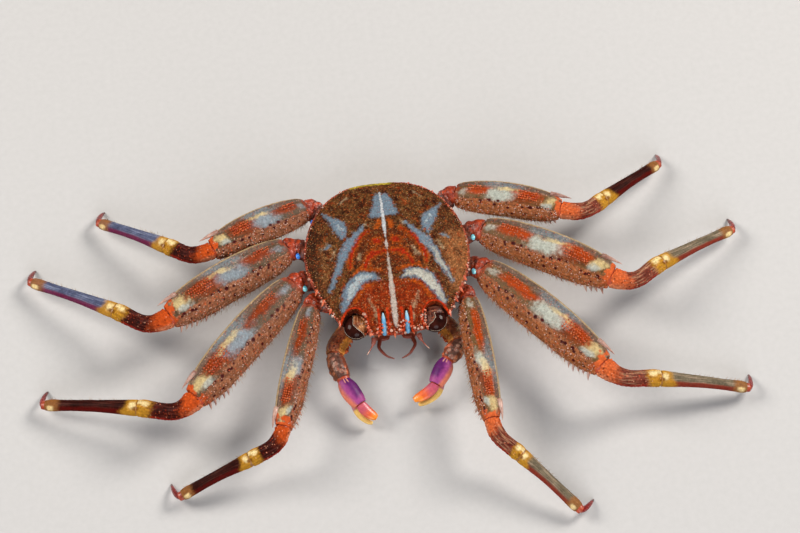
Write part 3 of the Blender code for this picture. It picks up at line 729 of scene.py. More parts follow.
def ballAt(centre, radii):
    return primitive(bpy.ops.mesh.primitive_uv_sphere_add, segments=48, ring_count=32, radius=1.0,
                     location=toFrame(centre), scale=[r * mm for r in radii])


def blockOf(places):
    # A cube whose eight corners are moved to the given places, in Blender's own corner order.
    block = primitive(bpy.ops.mesh.primitive_cube_add, size=2 * mm, location=middle)
    for corner, place in zip(block.data.vertices, places):
        corner.co = toFrame(place)
    facedOut(block)
    return block


def joinOrCut(piece, others, operation):
    for other in others:
        applied(piece, "BOOLEAN", operation=operation, object=other, solver="EXACT")
        removed(other)


def domedShell(outline):
    # The back is drawn in ring by ring and domed; the underside is its one large face, extruded down.
    centre = toFrame((0, 0, shell["rimZ"]))
    piece = primitive(bpy.ops.mesh.primitive_circle_add, vertices=shell["spokes"], radius=15 * mm,
                      fill_type="NGON", location=centre)
    spokeTurn = 2 * math.pi / shell["spokes"]
    turns = [math.atan2(v.co.x - middle.x, v.co.y - middle.y) for v in piece.data.vertices]
    for corner, turn in zip(piece.data.vertices, turns):
        place = outline[round(turn / spokeTurn) % shell["spokes"]]
        corner.co = toFrame((place.x, place.y, rimHeight(place.y)))
    editing(piece)
    fraction = 1.0
    for following in shell["rings"]:
        extruded((0, 0, 0), (following / fraction, following / fraction, 1), centre)
        fraction = following
    objectMode()
    for corner in piece.data.vertices:
        x, y = (corner.co.x - middle.x) / mm, (corner.co.y - middle.y) / mm
        edge = outline[round(math.atan2(x, y) / spokeTurn) % shell["spokes"]].length
        corner.co.z = shieldHeight(x, y, min(math.hypot(x, y) / edge, 1.0)) * mm
    lowest = min(piece.data.polygons, key=lambda face: (-len(face.vertices), face.center.z))
    pick(piece)
    for face in piece.data.polygons:
        face.select = face.index == lowest.index
    for corner in piece.data.vertices:
        corner.select = corner.index in lowest.vertices
    for edge in piece.data.edges:
        edge.select = edge.vertices[0] in lowest.vertices and edge.vertices[1] in lowest.vertices
    bpy.ops.object.mode_set(mode="EDIT")
    for drop, size in shell["underside"]:
        extruded((0, 0, -drop * mm), (size, size, 1), centre)
    objectMode()
    subdivided(piece, 2)
    facedOut(piece)
    return piece


def shapeFront(piece):
    # Joins the face below the front edge, then cuts the orbits and slits and rounds all edges.
    face = blockOf([(x * sides[side], y, z) for side in ("right", "left") for x, y, z in shell["face"]])
    applied(face, "BEVEL", width=0.5 * mm, segments=3)
    joinOrCut(piece, [face], "UNION")
    cutters = []
    for side in sides:
        cutters.append(ballAt(mirrored(side, shell["orbit"]), shell["orbitRadii"]))
        x, half = shell["slitX"] * sides[side], shell["slitHalf"]
        ends = ((half, shell["beforeAll"]), (half * shell["slitNarrow"], shell["slitBack"]))
        cutters.append(blockOf([(x + out * wide, y, z) for out in (-1, 1) for wide, y in ends
                                for z in (shell["slitFloor"], shell["aboveAll"])]))
    joinOrCut(piece, cutters, "DIFFERENCE")
    applied(piece, "REMESH", mode="VOXEL", voxel_size=shell["voxel"] * mm)
    applied(piece, "SMOOTH", factor=0.5, iterations=4)
    facedOut(piece)


def orbitDistance(x, y):
    (ox, oy, _), (rx, ry) = shell["orbit"], shell["orbitRim"]
    return np.hypot((x - ox) / rx, (y - oy) / ry) - 1.0


def nearestLine(x, y, lines):
    return np.max([lineCover(x, y, line) for line in lines], axis=0)


def shellColours(piece, outline):
    # Smooth raised bands, rims and grooves, granules between the bands, and the zones of colour, among them painted
    # shade inside the orbits and slits and on the right flank, and painted light on the left side's bands.
    points, normals = crabPoints(piece), pointNormals(piece)
    side, y, z = points.T
    x, left = np.abs(side), side > 0
    warp = wander(points, 1.6) * 0.2
    fray = 0.4 * wander(points, 0.7, 13.0) + 0.16 * wander(points, 0.3, 31.0)
    broken = ease(wander(points, 0.7, 21.0) + 0.7 * wander(points, 1.5, 4.0), -0.6, -0.1)
    top = ease(normals[:, 2], 0.0, 0.35) * (z > 7.0)
    rearY, rearHalf = zip(*rearPatch)
    tail = np.interp(y + warp, rearY, rearHalf) - np.abs(side - 0.2)
    tail = np.minimum(tail, np.minimum(y - 6.9 - 0.12 * side, 12.3 - y + 2 * warp))
    pale = np.maximum(nearestLine(x + warp, y + warp, paleBands), tail)
    median = lineCover(x, y, medianLine)
    arch = nearestLine(x + warp, y, redArches)
    mottle = nearestLine(x + warp, y - warp, paleMottles)
    white = nearestLine(x + warp, y + warp, whiteCores)
    fringe = nearestLine(x + warp, y + warp, orangeFringes)

    reach = np.array([p.length for p in outline])
    spoke = np.arctan2(side, y) / (2 * math.pi / shell["spokes"])
    inset = np.interp(spoke % shell["spokes"], np.arange(shell["spokes"] + 1), np.append(reach, reach[0]))
    inset -= np.hypot(side, y)
    orbitGap = orbitDistance(x, y)
    slitGap = np.abs(x - shell["slitX"]) - shell["slitHalf"]
    slitRim = (y < shell["slitBack"] + 0.1) * between(slitGap, 0.0, 0.42, 0.12)
    orbitRim = between(orbitGap, -0.03, 0.12, 0.05) * (y > -14.9) * ease(normals[:, 2], 0.15, 0.5)
    margin = between(inset, -0.4, 0.3, 0.1) * (z > 7.2)

    high = np.maximum(ease(pale, -0.25, 0.35), ease(median, -0.1, 0.25))
    grains = pebbles(points, shell["granule"])
    rough = (1.0 - high) * top
    height = (shell["bandHeight"] * high + shell["rimHeight"] * np.maximum(slitRim, orbitRim)
              + shell["marginHeight"] * margin) * top
    height += shell["granuleHeight"] * grains * rough + shell["unevenness"] * wander(points, 1.3, 5.0) * rough
    swell(piece, height)

    # Painted shade: the walls inside the orbits and slits are coloured dark, where shade falls in them.
    hollow = ease(-orbitGap, -0.06, 0.02) * (z < 9.4) * (1.0 - orbitRim)
    hollow = np.maximum(hollow, (slitGap < -0.02) * (y < shell["slitBack"]) * (z < 8.0) * 1.0)
    medianShown = ease(median + 0.3 * fray, -0.2, 0.2)
    mark(piece,
         pale=ease(pale + fray, -0.6, 0.5), median=medianShown, medianRear=medianShown * ease(y, -1.0, 4.0),
         arch=ease(arch + 0.7 * fray, -0.42, 0.22) * (0.6 + 0.4 * broken),
         # Cream on the front of the pale bands is the bands' own tone, laid on the left side only as painted light
         # that makes that side paler.
         creamy=ease(pale + fray, -0.1, 0.6) * left * ease(3.0 - y, 0.0, 7.0),
         rim=np.maximum(slitRim, orbitRim),
         margin=margin * (0.6 + 0.4 * ease(wander(points, 1.3, 9.0), -0.1, 0.3)),
         # bead: where the painted highlight on granule tops and the painted shade between them fall; smooth parts get
         # an even middle value.
         bead=grains * rough + 0.75 * (1.0 - rough), mottle=ease(mottle + fray, -0.6, 0.6),
         white=ease(white + fray, -0.5, 0.6),
         fringe=np.maximum(ease(fringe + fray, -0.5, 0.4), 0.7 * ease(arch + fray, -1.1, -0.1)),
         # Painted shade: the outer part of the right flank is darkened.
         dusk=ease(x, 10.5, 14.0) * (side < 0),
         front=ease(-y + warp * 3, 5.0, 8.0) * (1.0 - ease(x, 8.3, 9.6)),
         centre=between(np.hypot(x / 7.0, (y + 0.5) / 5.2), -1.0, 0.95, 0.08),
         # Ochre flanks are the crab's own colour, held weaker on the right side as painted shade.
         ochre=ease(x, 8.5, 12.5) * between(y, -9.0, 3.5, 1.5) * np.where(left, 1.0, 0.4),
         rearEdge=ease(0.6 - inset + 0.4 * fray, -0.1, 0.2) * (y > 12.5) * between(side + 1.2, -3.8, 3.8, 0.8)
         * ease(z, 7.3, 7.7),
         hollow=hollow, under=1.0 - ease(normals[:, 2], -0.5, -0.1))


shellVelvet = cuticle("shell_velvet", {
    "body": [(0.32, "#2E150C"), (0.45, "#4C2A14"), (0.56, "#644222"), (0.68, "#381C0E")],
    "ground": {"ochre": ("#98623A", 0.85), "dusk": ("#2E1A0E", 0.8), "centre": ("#54240E", 0.85),
               "front": ("#822A0A", 0.95)},
    "mottles": [(1.2, "#963A12", 0.53, 0.68, 0.55), (0.9, "#93683A", 0.56, 0.7, 0.5),
                (1.7, "#2C1208", 0.52, 0.68, 0.7), (0.6, "#BC5A20", 0.62, 0.72, 0.5)],
    "flecks": [("#B2420E", 0.18, 0.45), ("#C49460", 0.17, 0.5), ("#1E0A04", 0.22, 0.6)],
    "zones": {"mottle": ("#A89070", 0.7), "fringe": ("#A84A0E", 0.75), "arch": ("#96200A", 0.88),
              "pale": "#5C6B78", "white": ("#9EA6A6", 0.65), "creamy": ("#A8A08C", 0.55), "median": "#A0948A",
              "medianRear": ("#A4ACB2", 0.8), "margin": ("#A0483A", 0.8), "rim": "#B83410",
              "rearEdge": "#A89436", "hollow": "#2A0E08", "under": "#B08468"},
    "overFlecks": [("#C8B4A0", 0.012, 0.45), ("#8E2404", 0.06, 0.4), ("#C45A20", 0.05, 0.4)], "broad": 1.4,
    "ragged": 0.7, "soft": 0.4, "stipple": 0.5, "specks": 0.22, "speckled": (0.84, 1.14), "shaded": (0.72, 1.22),
    "granuleLightShade": (0.62, 1.24), "beaded": 0.6, "relief": 0.07, "rough": (0.6, 0.75), "coat": 0.0, "gleam": 0.04})

shieldOutline = smoothOutline(shell["outline"], shell["spokes"])
carapace = domedShell(shieldOutline)
shapeFront(carapace)
shellColours(carapace, shieldOutline)
finished(carapace, "carapace_shell", "shell", shellVelvet, "carapace")
print("shell made:", len(carapace.data.polygons), "faces")

shellTrim = {
    "sideSpines": [(11.3, -10.1, 24, 1.15), (12.45, -8.3, 24, 1.2), (13.45, -6.2, 24, 1.05), (14.2, -3.9, 24, 0.6),
                   (10.0, -12.4, 8, 1.4)],
    "frontTeeth": [(-5.41, -14.6), (-4.5, -15.3), (-3.06, -15.4), (-1.48, -15.2), (-0.31, -15.75), (0.93, -15.5),
                   (2.9, -15.3), (4.17, -15.2), (5.26, -14.8)],
    "spineWidth": 0.34, "toothWidth": 0.36, "toothZ": 7.75, "rimBeads": 460, "frontBeads": 130,
    "pearls": [(14.35, -4.6), (13.2, -7.3), (11.6, -9.9), (10.7, -11.7), (-14.5, -3.4), (-12.7, -8.2), (-11.0, -11.2)],
}
redHorn = cuticle("red_horn", {
    "body": [(0.3, "#A03418"), (0.5, "#BC5230"), (0.7, "#D88462")], "grain": 0.6, "broad": 0.8,
    "rough": (0.25, 0.4), "coat": 0.5})


def makeShellTrim():
    horns, pale, red = [], [], []
    upward, backward = Vector((0, 0, 1)), Vector((0, 1, 0))
    for side in sides:
        for x, y, turn, length in shellTrim["sideSpines"]:
            base = mirrored(side, (x - 0.2, y + 0.35, rimHeight(y) + 0.05))
            horns.append((base, standing(heading(side, turn, 4), upward, length, shellTrim["spineWidth"])))
    for x, y in shellTrim["frontTeeth"]:
        way = Vector((0.06 * x, -1.0, -0.25 + chance.uniform(-0.1, 0.1)))
        tooth = standing(way, upward, chance.uniform(0.8, 1.2), shellTrim["toothWidth"])
        horns.append((Vector((x, y + 0.55, shellTrim["toothZ"])), tooth))
    for _ in range(shellTrim["rimBeads"]):
        spoke = chance.randrange(len(shieldOutline))
        ray = shieldOutline[spoke - 1].lerp(shieldOutline[spoke], chance.random())
        if ray.y < -12.6 or (ray.y > 12.8 and abs(ray.x) < 5.2):
            continue
        inward = chance.uniform(0.0, 0.03)
        place = ray * (1.0 - inward)
        out = (ray.normalized() + Vector((0, 0, 0.5 + inward * 20))).normalized()
        wide = 0.05 + 0.12 * chance.random() ** 2
        (pale if chance.random() < 0.3 else red).append(
            (Vector((place.x, place.y, shieldHeight(place.x, place.y, 1.0 - inward) + 0.02)),
             standing(out, backward, wide * 1.2, wide)))
    points, normals = crabPoints(carapace), pointNormals(carapace)
    x, y = abs(points[:, 0]), points[:, 1]
    nearFront = (y < -12.0) & (points[:, 2] > 7.6) & (normals[:, 2] > 0.2)
    byOrbit = (orbitDistance(x, y) < 0.16) & (x < 6.4)
    edge = nearFront & ((y < -14.5) | ((y < -13.9) & (abs(x - shell["slitX"]) < 1.2)) | byOrbit)
    spots = np.flatnonzero(edge).tolist()
    for _ in range(shellTrim["frontBeads"]):
        i = chance.choice(spots)
        wide = 0.1 + 0.26 * chance.random() ** 1.6
        (pale if chance.random() < 0.28 else red).append(
            (Vector(points[i]), standing(Vector(normals[i]), backward, wide * 1.2, wide)))
    for px, py in shellTrim["pearls"]:  # the largest beads of the margin
        wide = chance.uniform(0.24, 0.34)
        out = Vector((px, py * 0.3, 12.0))
        pale.append((Vector((px, py, rimHeight(py) + 0.1)), standing(out, backward, wide, wide)))
    finished(scattered(thorn, horns), "shell_spines", "shell", redHorn)
    finished(scattered(granule, pale), "shell_pale_beads", "shell", granuleHorn)
    finished(scattered(granule, red), "shell_red_beads", "shell", redHorn)


makeShellTrim()

# Walking legs

legs = {
    1: dict(start=(14.1, -8.7), merus=26.8, carpus=7.0, propodus=13.6, width=5.2, kneeZ=9.0, wristZ=6.5, spine=1.2),
    2: dict(start=(17.2, -3.6), merus=30.8, carpus=10.0, propodus=17.2, width=7.3, kneeZ=10.0, wristZ=7.0, spine=1.7),
    3: dict(start=(17.9, 4.3), merus=27.1, carpus=10.3, propodus=18.0, width=7.2, kneeZ=10.0, wristZ=7.0, spine=1.6),
    4: dict(start=(13.8, 12.2), merus=21.2, carpus=8.8, propodus=15.6, width=6.1, kneeZ=10.0, wristZ=7.0, spine=0.9),
}
# The photographed pose: hip outward and back, then headings of merus, carpus, propodus and claw tip.
poses = {
    ("right", 1): (0.5, 0.7, 16.3, 62, 73.4, 149), ("left", 1): (-0.5, -0.8, 2.1, 40, 44, 125),
    ("right", 2): (0.0, 0.3, 40.9, 99, 105.5, 182), ("left", 2): (0.0, -0.3, 37.4, 82, 85.2, 157),
    ("right", 3): (-0.1, -0.1, 59.1, 117, 123.5, 184), ("left", 3): (0.1, 0.0, 56.6, 114.5, 118, 172),
    ("right", 4): (-0.3, 0.3, 64.2, 118, 126, 187), ("left", 4): (0.2, 0.2, 68.4, 114, 127, 168),
}
bellyCorners = [(4.8, -10.0), (8.2, -7.8), (10.9, -4.2), (12.2, 0.6), (11.6, 6.2), (7.6, 12.4), (3.0, 13.4)]
joint = {"gap": 0.3, "hipZ": 4.8, "thighZ": 6.5, "ankleZ": 2.5, "tipZ": -0.12, "clawReach": 3.9, "setback": 1.1,
         "lean": 24.0, "shinDrift": 0.7}
thighSection = [
    (-1.06, 0.34), (-1.0, 0.52), (-0.84, 0.60), (-0.55, 0.86), (-0.2, 1.02), (0.2, 1.05), (0.55, 0.92),
    (0.85, 0.55), (1.05, 0.05), (0.95, -0.5), (0.55, -0.95), (0.1, -1.02), (-0.3, -0.85), (-0.7, -0.45),
    (-0.94, 0.0), (-1.05, 0.16),
]
thighProfile = [  # along, share of the width and depth
    (0, 0.60, 2.3), (0.03, 0.72, 2.6), (0.10, 0.84, 2.8), (0.22, 0.94, 3.0), (0.4, 1.0, 3.0), (0.55, 1.0, 3.0),
    (0.7, 0.98, 2.9), (0.84, 0.90, 2.8), (0.93, 0.76, 2.6), (1, 0.58, 2.4),
]


def panelRoot(side, index, z):
    (ax, ay), (bx, by) = bellyCorners[index], bellyCorners[index + 1]
    out = Vector((by - ay, ax - bx, 0)).normalized()
    return mirrored(side, Vector(((ax + bx) / 2, (ay + by) / 2, z)) + out * joint["gap"]), mirrored(side, out)


def patch(s, a, middleS, middleA, halfS, halfA, soft):
    # A rounded patch with a soft edge; s runs along the limb and a across it.
    reach = (np.abs((s - middleS) / halfS) ** 2.6 + np.abs((a - middleA) / halfA) ** 2.6) ** (1 / 2.6)
    return 1.0 - ease(reach, 1.0 - soft, 1.0 + soft)


# Pale patch, second streak and golden patch of each thigh, the pale one's half length and how far it is cream.
patchPlaces = {1: (0.55, 0.71, 0.905, 0.075, 0.3), 2: (0.53, 0.72, 0.905, 0.11, 0.11),
               3: (0.46, 0.69, 0.89, 0.12, 0.11), 4: (0.42, 0.66, 0.89, 0.12, 0.11)}


def thighZones(number, t, fore, rise, points):
    # Colours of a thigh from hip to knee: crest, streaks and pale patches, then the beaded front.
    drift, ragged, fine = wander(points, 2.4, 3.0), wander(points, 0.9, 7.0), wander(points, 0.4, 5.0)
    s = t + drift * 0.04 + ragged * 0.022 + fine * 0.012
    a = fore + drift * 0.1 + ragged * 0.09 + fine * 0.05
    top = ease(rise, -0.35, 0.1)
    slant = s + 0.07 * (a + 0.3)
    early, late, gold, half, creamHalf = patchPlaces[number]
    return dict(
        band=between(a, -0.74, 0.2, 0.14) * top,
        grey=(1.0 - ease(a, -0.8, -0.6)) * top,
        haze=patch(slant, a, early, -0.75, 0.16, 0.3, 0.7) * top,
        keel=1.0 - ease(fore, -1.02, -0.95),
        streak=(patch(slant, a, 0.53 * early, -0.4, 0.3 * early, 0.24, 0.8)
                + patch(slant, a, late, -0.42, 0.13, 0.32, 0.7)) * top,
        deep=patch(slant, a, late - 0.02, -0.1, 0.14, 0.26, 0.7) * top,
        pale=np.clip(patch(slant, a, early + 0.03, -0.18, half, 0.34, 0.8)
                     + patch(slant, a, 0.08, -0.3, 0.05, 0.24, 0.8) * 0.6, 0, 1) * top,
        cream=np.clip(patch(slant - 0.02, a, early + 0.04, -0.69 + creamHalf, 0.9 * half, creamHalf, 0.9) * 0.8
                      + patch(slant, a, gold, -0.42, 0.055, 0.36, 0.8) * 0.95, 0, 1) * top,
        core=patch(slant, a, gold, -0.06, 0.04, 0.2, 0.8) * top,
        knee=ease(s + 0.03 * ragged, 0.95, 0.985) * (1.0 - 0.6 * ease(fore, 0.3, 0.8)),
        base=1.0 - ease(s, 0.0, 0.05), front=ease(a, 0.1, 0.32) * top, under=1.0 - ease(rise, -0.45, -0.1))


def dotRow(t, fore, length, across, spacing, size, phase=0.0):
    # Small dark red pits in a loose row along the limb.
    along = t * length / spacing + phase
    nearest = np.round(along)
    jitter = np.sin(nearest * 12.9 + phase * 40) * 0.3
    dx = (along - nearest - jitter) * spacing
    dy = (fore - across - 0.09 * np.sin(nearest * 7.3 + phase * 20)) * 3.2
    grown = size * (0.75 + 0.35 * np.sin(nearest * 5.1 + phase * 9))
    return 1.0 - ease(np.hypot(dx / 1.3, dy) - grown, -0.12, 0.12)


# One thigh finish for each side, with the crab's own markings on both. The right side's tones are bluer and darker and
# the left side's warmer and paler, painted light that stands in for cool light on one side.
sideLitThighCuticles = {side: cuticle("side_lit_thigh_cuticle_" + side, {
    "body": [(0.3, "#5C3020"), (0.5, "#7C4C34"), (0.7, "#946650")],
    "ground": {"band": olive, "grey": ("#5C4E42", 0.9), "haze": ("#6C767A", 0.8), "front": front, "streak": streak,
               "deep": ("#74300E", 0.8)},
    "mottles": [(1.1, "#8E3C14", 0.56, 0.7, 0.45), (0.8, "#A0806A", 0.58, 0.72, 0.35)],
    "lines": (0.3, 3.6, "#3C2418", 0.45),
    "flecks": [("#AC3E14", 0.18, 0.45), ("#C89C86", 0.16, 0.4), ("#380C06", 0.18, 0.5)],
    "zones": {"keel": ("#A08A66", 0.8), "pale": (pale, 0.88), "cream": ("#BCA878", 0.8), "core": ("#9AA09A", 0.75),
              "knee": knee, "base": ("#8E2E16", 0.6), "dots": "#3C0608", "under": "#A0664C"},
    "overFlecks": [("#D0B09A", 0.03, 0.35), ("#7A2408", 0.05, 0.35)], "grain": 0.45, "broad": 1.2, "ragged": 0.45,
    "soft": 0.45, "stipple": 0.25, "specks": 0.28, "speckled": (0.88, 1.1), "shaded": (0.76, 1.2),
    "granuleLightShade": (0.74, 1.24), "beaded": 0.45, "relief": 0.06, "rough": (0.44, 0.58), "coat": 0.03, "coatRough": 0.14,
    "gleam": 0.08, "glow": 0.06})
    for side, olive, streak, pale, front, knee in (("right", "#50402E", "#762A02", "#7A868E", "#8E5A3E", "#AE4618"),
                                                   ("left", "#604628", "#983604", "#A4AAA0", "#9A5C36", "#B85428"))}


def makeThigh(side, number, path, size):
    stations = enlarged([(t, size["width"] * share, deep) for t, share, deep in thighProfile], 1.02)
    lean = (joint["lean"], joint["lean"])
    piece = grownLimb(path, side, thighSection, stations, lean, 3)
    t, fore, rise, length = limbPlaces(piece, path, side, stations, lean)
    points = crabPoints(piece)
    zones = thighZones(number, t, fore, rise, points)
    dots = np.max([dotRow(t, fore, length, 0.26, 1.6, 0.29), dotRow(t, fore, length, 0.48, 2.6, 0.24, 0.7),
                   dotRow(t, fore, length, 0.7, 2.1, 0.22, 0.4)], axis=0)
    zones["dots"] = dots * ease(rise, -0.2, 0.1) * between(t, 0.03, 0.95, 0.02)
    zones["limbPlace"] = np.stack([t * length, fore * size["width"] / 2, rise * 1.4], axis=1)
    grains = pebbles(points, 0.5)
    # Granule tops on the beaded front carry the painted highlight, and the gaps between them carry painted shade.
    zones["bead"] = grains * zones["front"] + 0.6 * (1.0 - zones["front"])
    height = 0.09 * grains * zones["front"] + 0.05 * pebbles(points, 0.6) * zones["streak"]
    height -= 0.14 * between(fore, -0.86, -0.72, 0.05) * ease(rise, 0.0, 0.3)
    height += 0.03 * wander(points, 0.7, 2.0) - 0.08 * zones["dots"]
    swell(piece, height)
    mark(piece, **zones)
    return finished(piece, f"thigh_{side}_{number}", "leg_shell", sideLitThighCuticles[side], f"leg_{side}_{number}_merus")


thornCounts = {1: 24, 2: 26, 3: 24, 4: 22}
thornReach = ((0, 0.1, 0.3, 0.84, 0.93, 1.0), (0.6, 0.84, 0.97, 0.9, 0.76, 0.58))  # along, and share of the width


def surfaceSpots(piece, chosen, count):
    # Points and outward ways picked by chance where the mask is set.
    points, normals = crabPoints(piece), pointNormals(piece)
    allowed = np.flatnonzero(chosen).tolist()
    picked = [chance.choice(allowed) for _ in range(count)] if allowed else []
    return [(Vector(points[i]), Vector(normals[i]), i) for i in picked]


def bristleCoat(name, piece, t, rise, where, count, lie, length, width):
    # Bristles lean along the limb; their roots are spread over the coat's map.
    hairs, roots = [], []
    for place, out, i in surfaceSpots(piece, where, count):
        hairs.append((place, standing(*lie(out), chance.uniform(*length), width)))
        roots.append((0.02 + 0.9 * min(max(t[i], 0), 1), 0.5 + 0.2 * rise[i]))
    finished(scattered(bristle, hairs, roots), name, "leg_shell", setaHorn)


def thighThorns(side, number, path, size):
    # Thorns on the front edge and one long spine at the end of the crest.
    place, way = path
    thorns = []
    count = thornCounts[number]
    for i in range(count):
        share = i / (count - 1)
        at = 0.09 + 0.87 * share
        ahead, up = acrossLimb(way(at), side, joint["lean"])
        reach = size["width"] * np.interp(at, *thornReach) / 2
        base = place(at) + ahead * (reach - 0.18) + up * 0.05
        point = (ahead * 0.85 + way(at) * 0.55 + up * 0.12).normalized()
        long = size["spine"] * (0.36 + 0.3 * share) * chance.uniform(0.6, 1.2)
        thorns.append((base, standing(point, way(at), long, 0.24 + 0.06 * share)))
    ahead, up = acrossLimb(way(0.88), side, joint["lean"])
    crestEnd = place(0.88) - ahead * (size["width"] * 0.415) + up * 0.5
    thorns.append((crestEnd, standing((way(0.95) - ahead * 0.02).normalized(), ahead, 3.2, 0.46)))
    finished(scattered(thorn, thorns), f"thorns_{side}_{number}", "leg_shell", thornHorn)


def streakBeads(number, piece, way, size, t, fore, rise):
    # Short rows of red beads on both streaks.
    points, normals = crabPoints(piece), pointNormals(piece)
    early, late = patchPlaces[number][:2]
    beads = []
    for row in range(6):
        onLate = row < 4
        for i in range(11 if onLate else 8):
            at = (late - 0.06 if onLate else 0.3 * early) + 0.017 * i + 0.004 * (row % 2)
            across = -0.62 + 0.14 * (row % 4) + chance.uniform(-0.015, 0.015)
            near = np.argmin((t - at) ** 2 * size["merus"] ** 2 + (fore - across) ** 2 * 10 + (rise < 0) * 9)
            wide = chance.uniform(0.12, 0.18)
            beads.append((Vector(points[near]), standing(Vector(normals[near]), way(at), wide, wide)))
    return beads


def thighTrim(side, number, piece, path, size):
    thighThorns(side, number, path, size)
    way = path[1]
    t, fore, rise, _ = limbPlaces(piece, path, side, [(0, size["width"], 3.0), (1, size["width"], 3.0)],
                                  (joint["lean"], joint["lean"]))

    def granules(frontFrom, kneeEnd, count, widths):
        field = (fore > frontFrom) & (fore < 1.0) & (rise > -0.1) & (t > 0.02) & (t < kneeEnd)
        beads = []
        for where, out, _ in surfaceSpots(piece, field, count):
            wide = chance.uniform(*widths)
            beads.append((where, standing(out, way(0.5), wide, wide)))
        return beads

    def leaning(out):
        along, up = chance.uniform(0.1, 0.9), chance.uniform(-0.4, 0.2)
        return (out + way(0.5) * along + Vector((0, 0, up))).normalized(), way(0.5)

    beads = granules(0.12, 0.98, 150, (0.07, 0.15))
    finished(scattered(granule, beads), f"granules_{side}_{number}", "leg_shell", granuleHorn)
    embers = streakBeads(number, piece, way, size, t, fore, rise) + granules(0.1, 0.99, 60, (0.08, 0.15))
    finished(scattered(granule, embers), f"red_granules_{side}_{number}", "leg_shell", emberHorn)
    edge = (fore > 0.72) & (rise > -0.8) & (rise < 0.6) & (t > 0.03) & (t < 0.97)
    bristleCoat(f"bristles_{side}_{number}", piece, t, rise, edge, 200, leaning, (0.5, 1.25), 0.028)


def lineUp(t, fore, rise, length, radius):
    # Place along the limb and around it, in millimetres, for the fine lines.
    around = np.arctan2(rise, fore) * radius
    return np.stack([t * length, around, rise], axis=1)


def ribs(fore, rise, count):
    return np.abs(np.cos(np.arctan2(rise, fore) * count / 2))


# One carpus finish for each side. Each carries the crab's own dark red with fine lines, made much darker on the right
# side and paler on the left as painted shade and light.
sideLitCarpusCuticle = {tint: cuticle("side_lit_carpus_cuticle_" + tint, {
    "body": [(0.3, body[0]), (0.55, body[1]), (0.75, body[2])], "lines": (0.34, 2.8, lineTone, 0.55),
    "mottles": [(0.9, "#8A3010", 0.58, 0.7, 0.4)],
    "zones": {"knee": (knee, 0.88), "pink": ("#B87858", 0.6), "edge": ("#8C180C", 0.7), "ring": ("#A87822", 0.95),
              "cream": ("#DCCB98", 0.85), "oval": ("#6A3C10", 0.85), "pits": ("#4A0C06", 0.8), "under": "#8A5442"},
    "flecks": [("#C8502A", 0.12, 0.5)], "overFlecks": [("#E0A080", 0.06, 0.5), ("#8A1E08", 0.08, 0.5)],
    "broad": 1.2, "soft": 0.5, "stipple": 0.3, "specks": 0.3, "speckled": (0.85, 1.12), "shaded": (0.78, 1.2),
    "granuleLightShade": (0.74, 1.22), "beaded": 0.3, "relief": 0.05, "rough": (0.5, 0.62), "coat": 0.01, "gleam": 0.03,
    "glow": 0.06})
    for tint, body, lineTone, knee in (("dark", ("#1E0604", "#340D08", "#4C1810"), "#5A302A", "#B44818"),
                                       ("light", ("#4E1E16", "#6A3428", "#84503E"), "#B8906E", "#C25A2C"))}
shinCuticle = {tint: cuticle("shin_cuticle_" + tint, {
    "body": [(0.3, body[0]), (0.7, body[1])], "lines": (0.3, 4.2, lineTone, 0.65),
    "zones": {"stripe": (stripe, 0.85), "ring": ("#A87822", 0.95), "cream": ("#DCCB98", 0.85),
              "oval": ("#6A3C10", 0.85), "end": ("#84562E", 0.9), "spot": ("#E0C890", 0.85), "under": "#7E5242"},
    "broad": 1.6, "ragged": 0.45, "soft": 0.5, "specks": 0.3, "speckled": (0.88, 1.1), "shaded": (0.82, 1.15),
    "beaded": 0.15, "relief": 0.03, "rough": (0.48, 0.62), "coat": 0.01, "gleam": 0.03, "glow": 0.1})
    for tint, body, lineTone, stripe in (("violet", ("#383C54", "#545A74"), "#8088A0", "#641034"),
                                         ("wine", ("#1E0603", "#300C08"), "#4E2A22", "#500A06"),
                                         ("tan", ("#544A3A", "#6A604E"), "#A08C78", "#7A1E12"))}
shinTints = {("right", 1): "wine", ("right", 2): "wine", ("right", 3): "violet", ("right", 4): "violet",
             ("left", 1): "tan", ("left", 2): "tan", ("left", 3): "tan", ("left", 4): "wine"}
clawHorn = cuticle("claw_horn", {
    "body": [(0.3, "#5A0A06"), (0.7, "#7E140C")], "zones": {"tip": "#480C08", "root": ("#9A4A28", 0.8)},
    "grain": 0.5, "speckled": (0.85, 1.1), "relief": 0.02, "rough": (0.2, 0.32), "coat": 0.5, "glow": 0.15})
hipCuticle = cuticle("hip_cuticle", {
    "body": [(0.3, "#4A140A"), (0.5, "#8A2A0E"), (0.7, "#B4481C")],
    "mottles": [(0.6, "#C0440E", 0.5, 0.62, 0.7), (0.8, "#220806", 0.54, 0.64, 0.8), (0.5, "#B88470", 0.6, 0.7, 0.6)],
    "flecks": [("#B83A14", 0.2, 0.5), ("#C89A88", 0.08, 0.5)],
    "zones": {"arcs": ("#B03A14", 0.5), "pale": ("#8A6A5C", 0.4), "under": "#A06A50"},
    "overFlecks": [("#D8947A", 0.06, 0.5)], "grain": 0.45, "broad": 1.0, "soft": 0.5, "specks": 0.34,
    "speckled": (0.8, 1.15), "shaded": (0.7, 1.25), "granuleLightShade": (0.6, 1.25), "beaded": 0.5, "relief": 0.07,
    "rough": (0.34, 0.48), "coat": 0.15})
jointSkin = cuticle("joint_skin", {
    "body": [(0.3, "#8A2A12"), (0.7, "#AC4420")], "zones": {"ring": "#8E5C1C"}, "grain": 0.6,
    "shaded": (0.8, 1.15), "relief": 0.03, "rough": (0.4, 0.55)})
ballSection = roundSection(10)


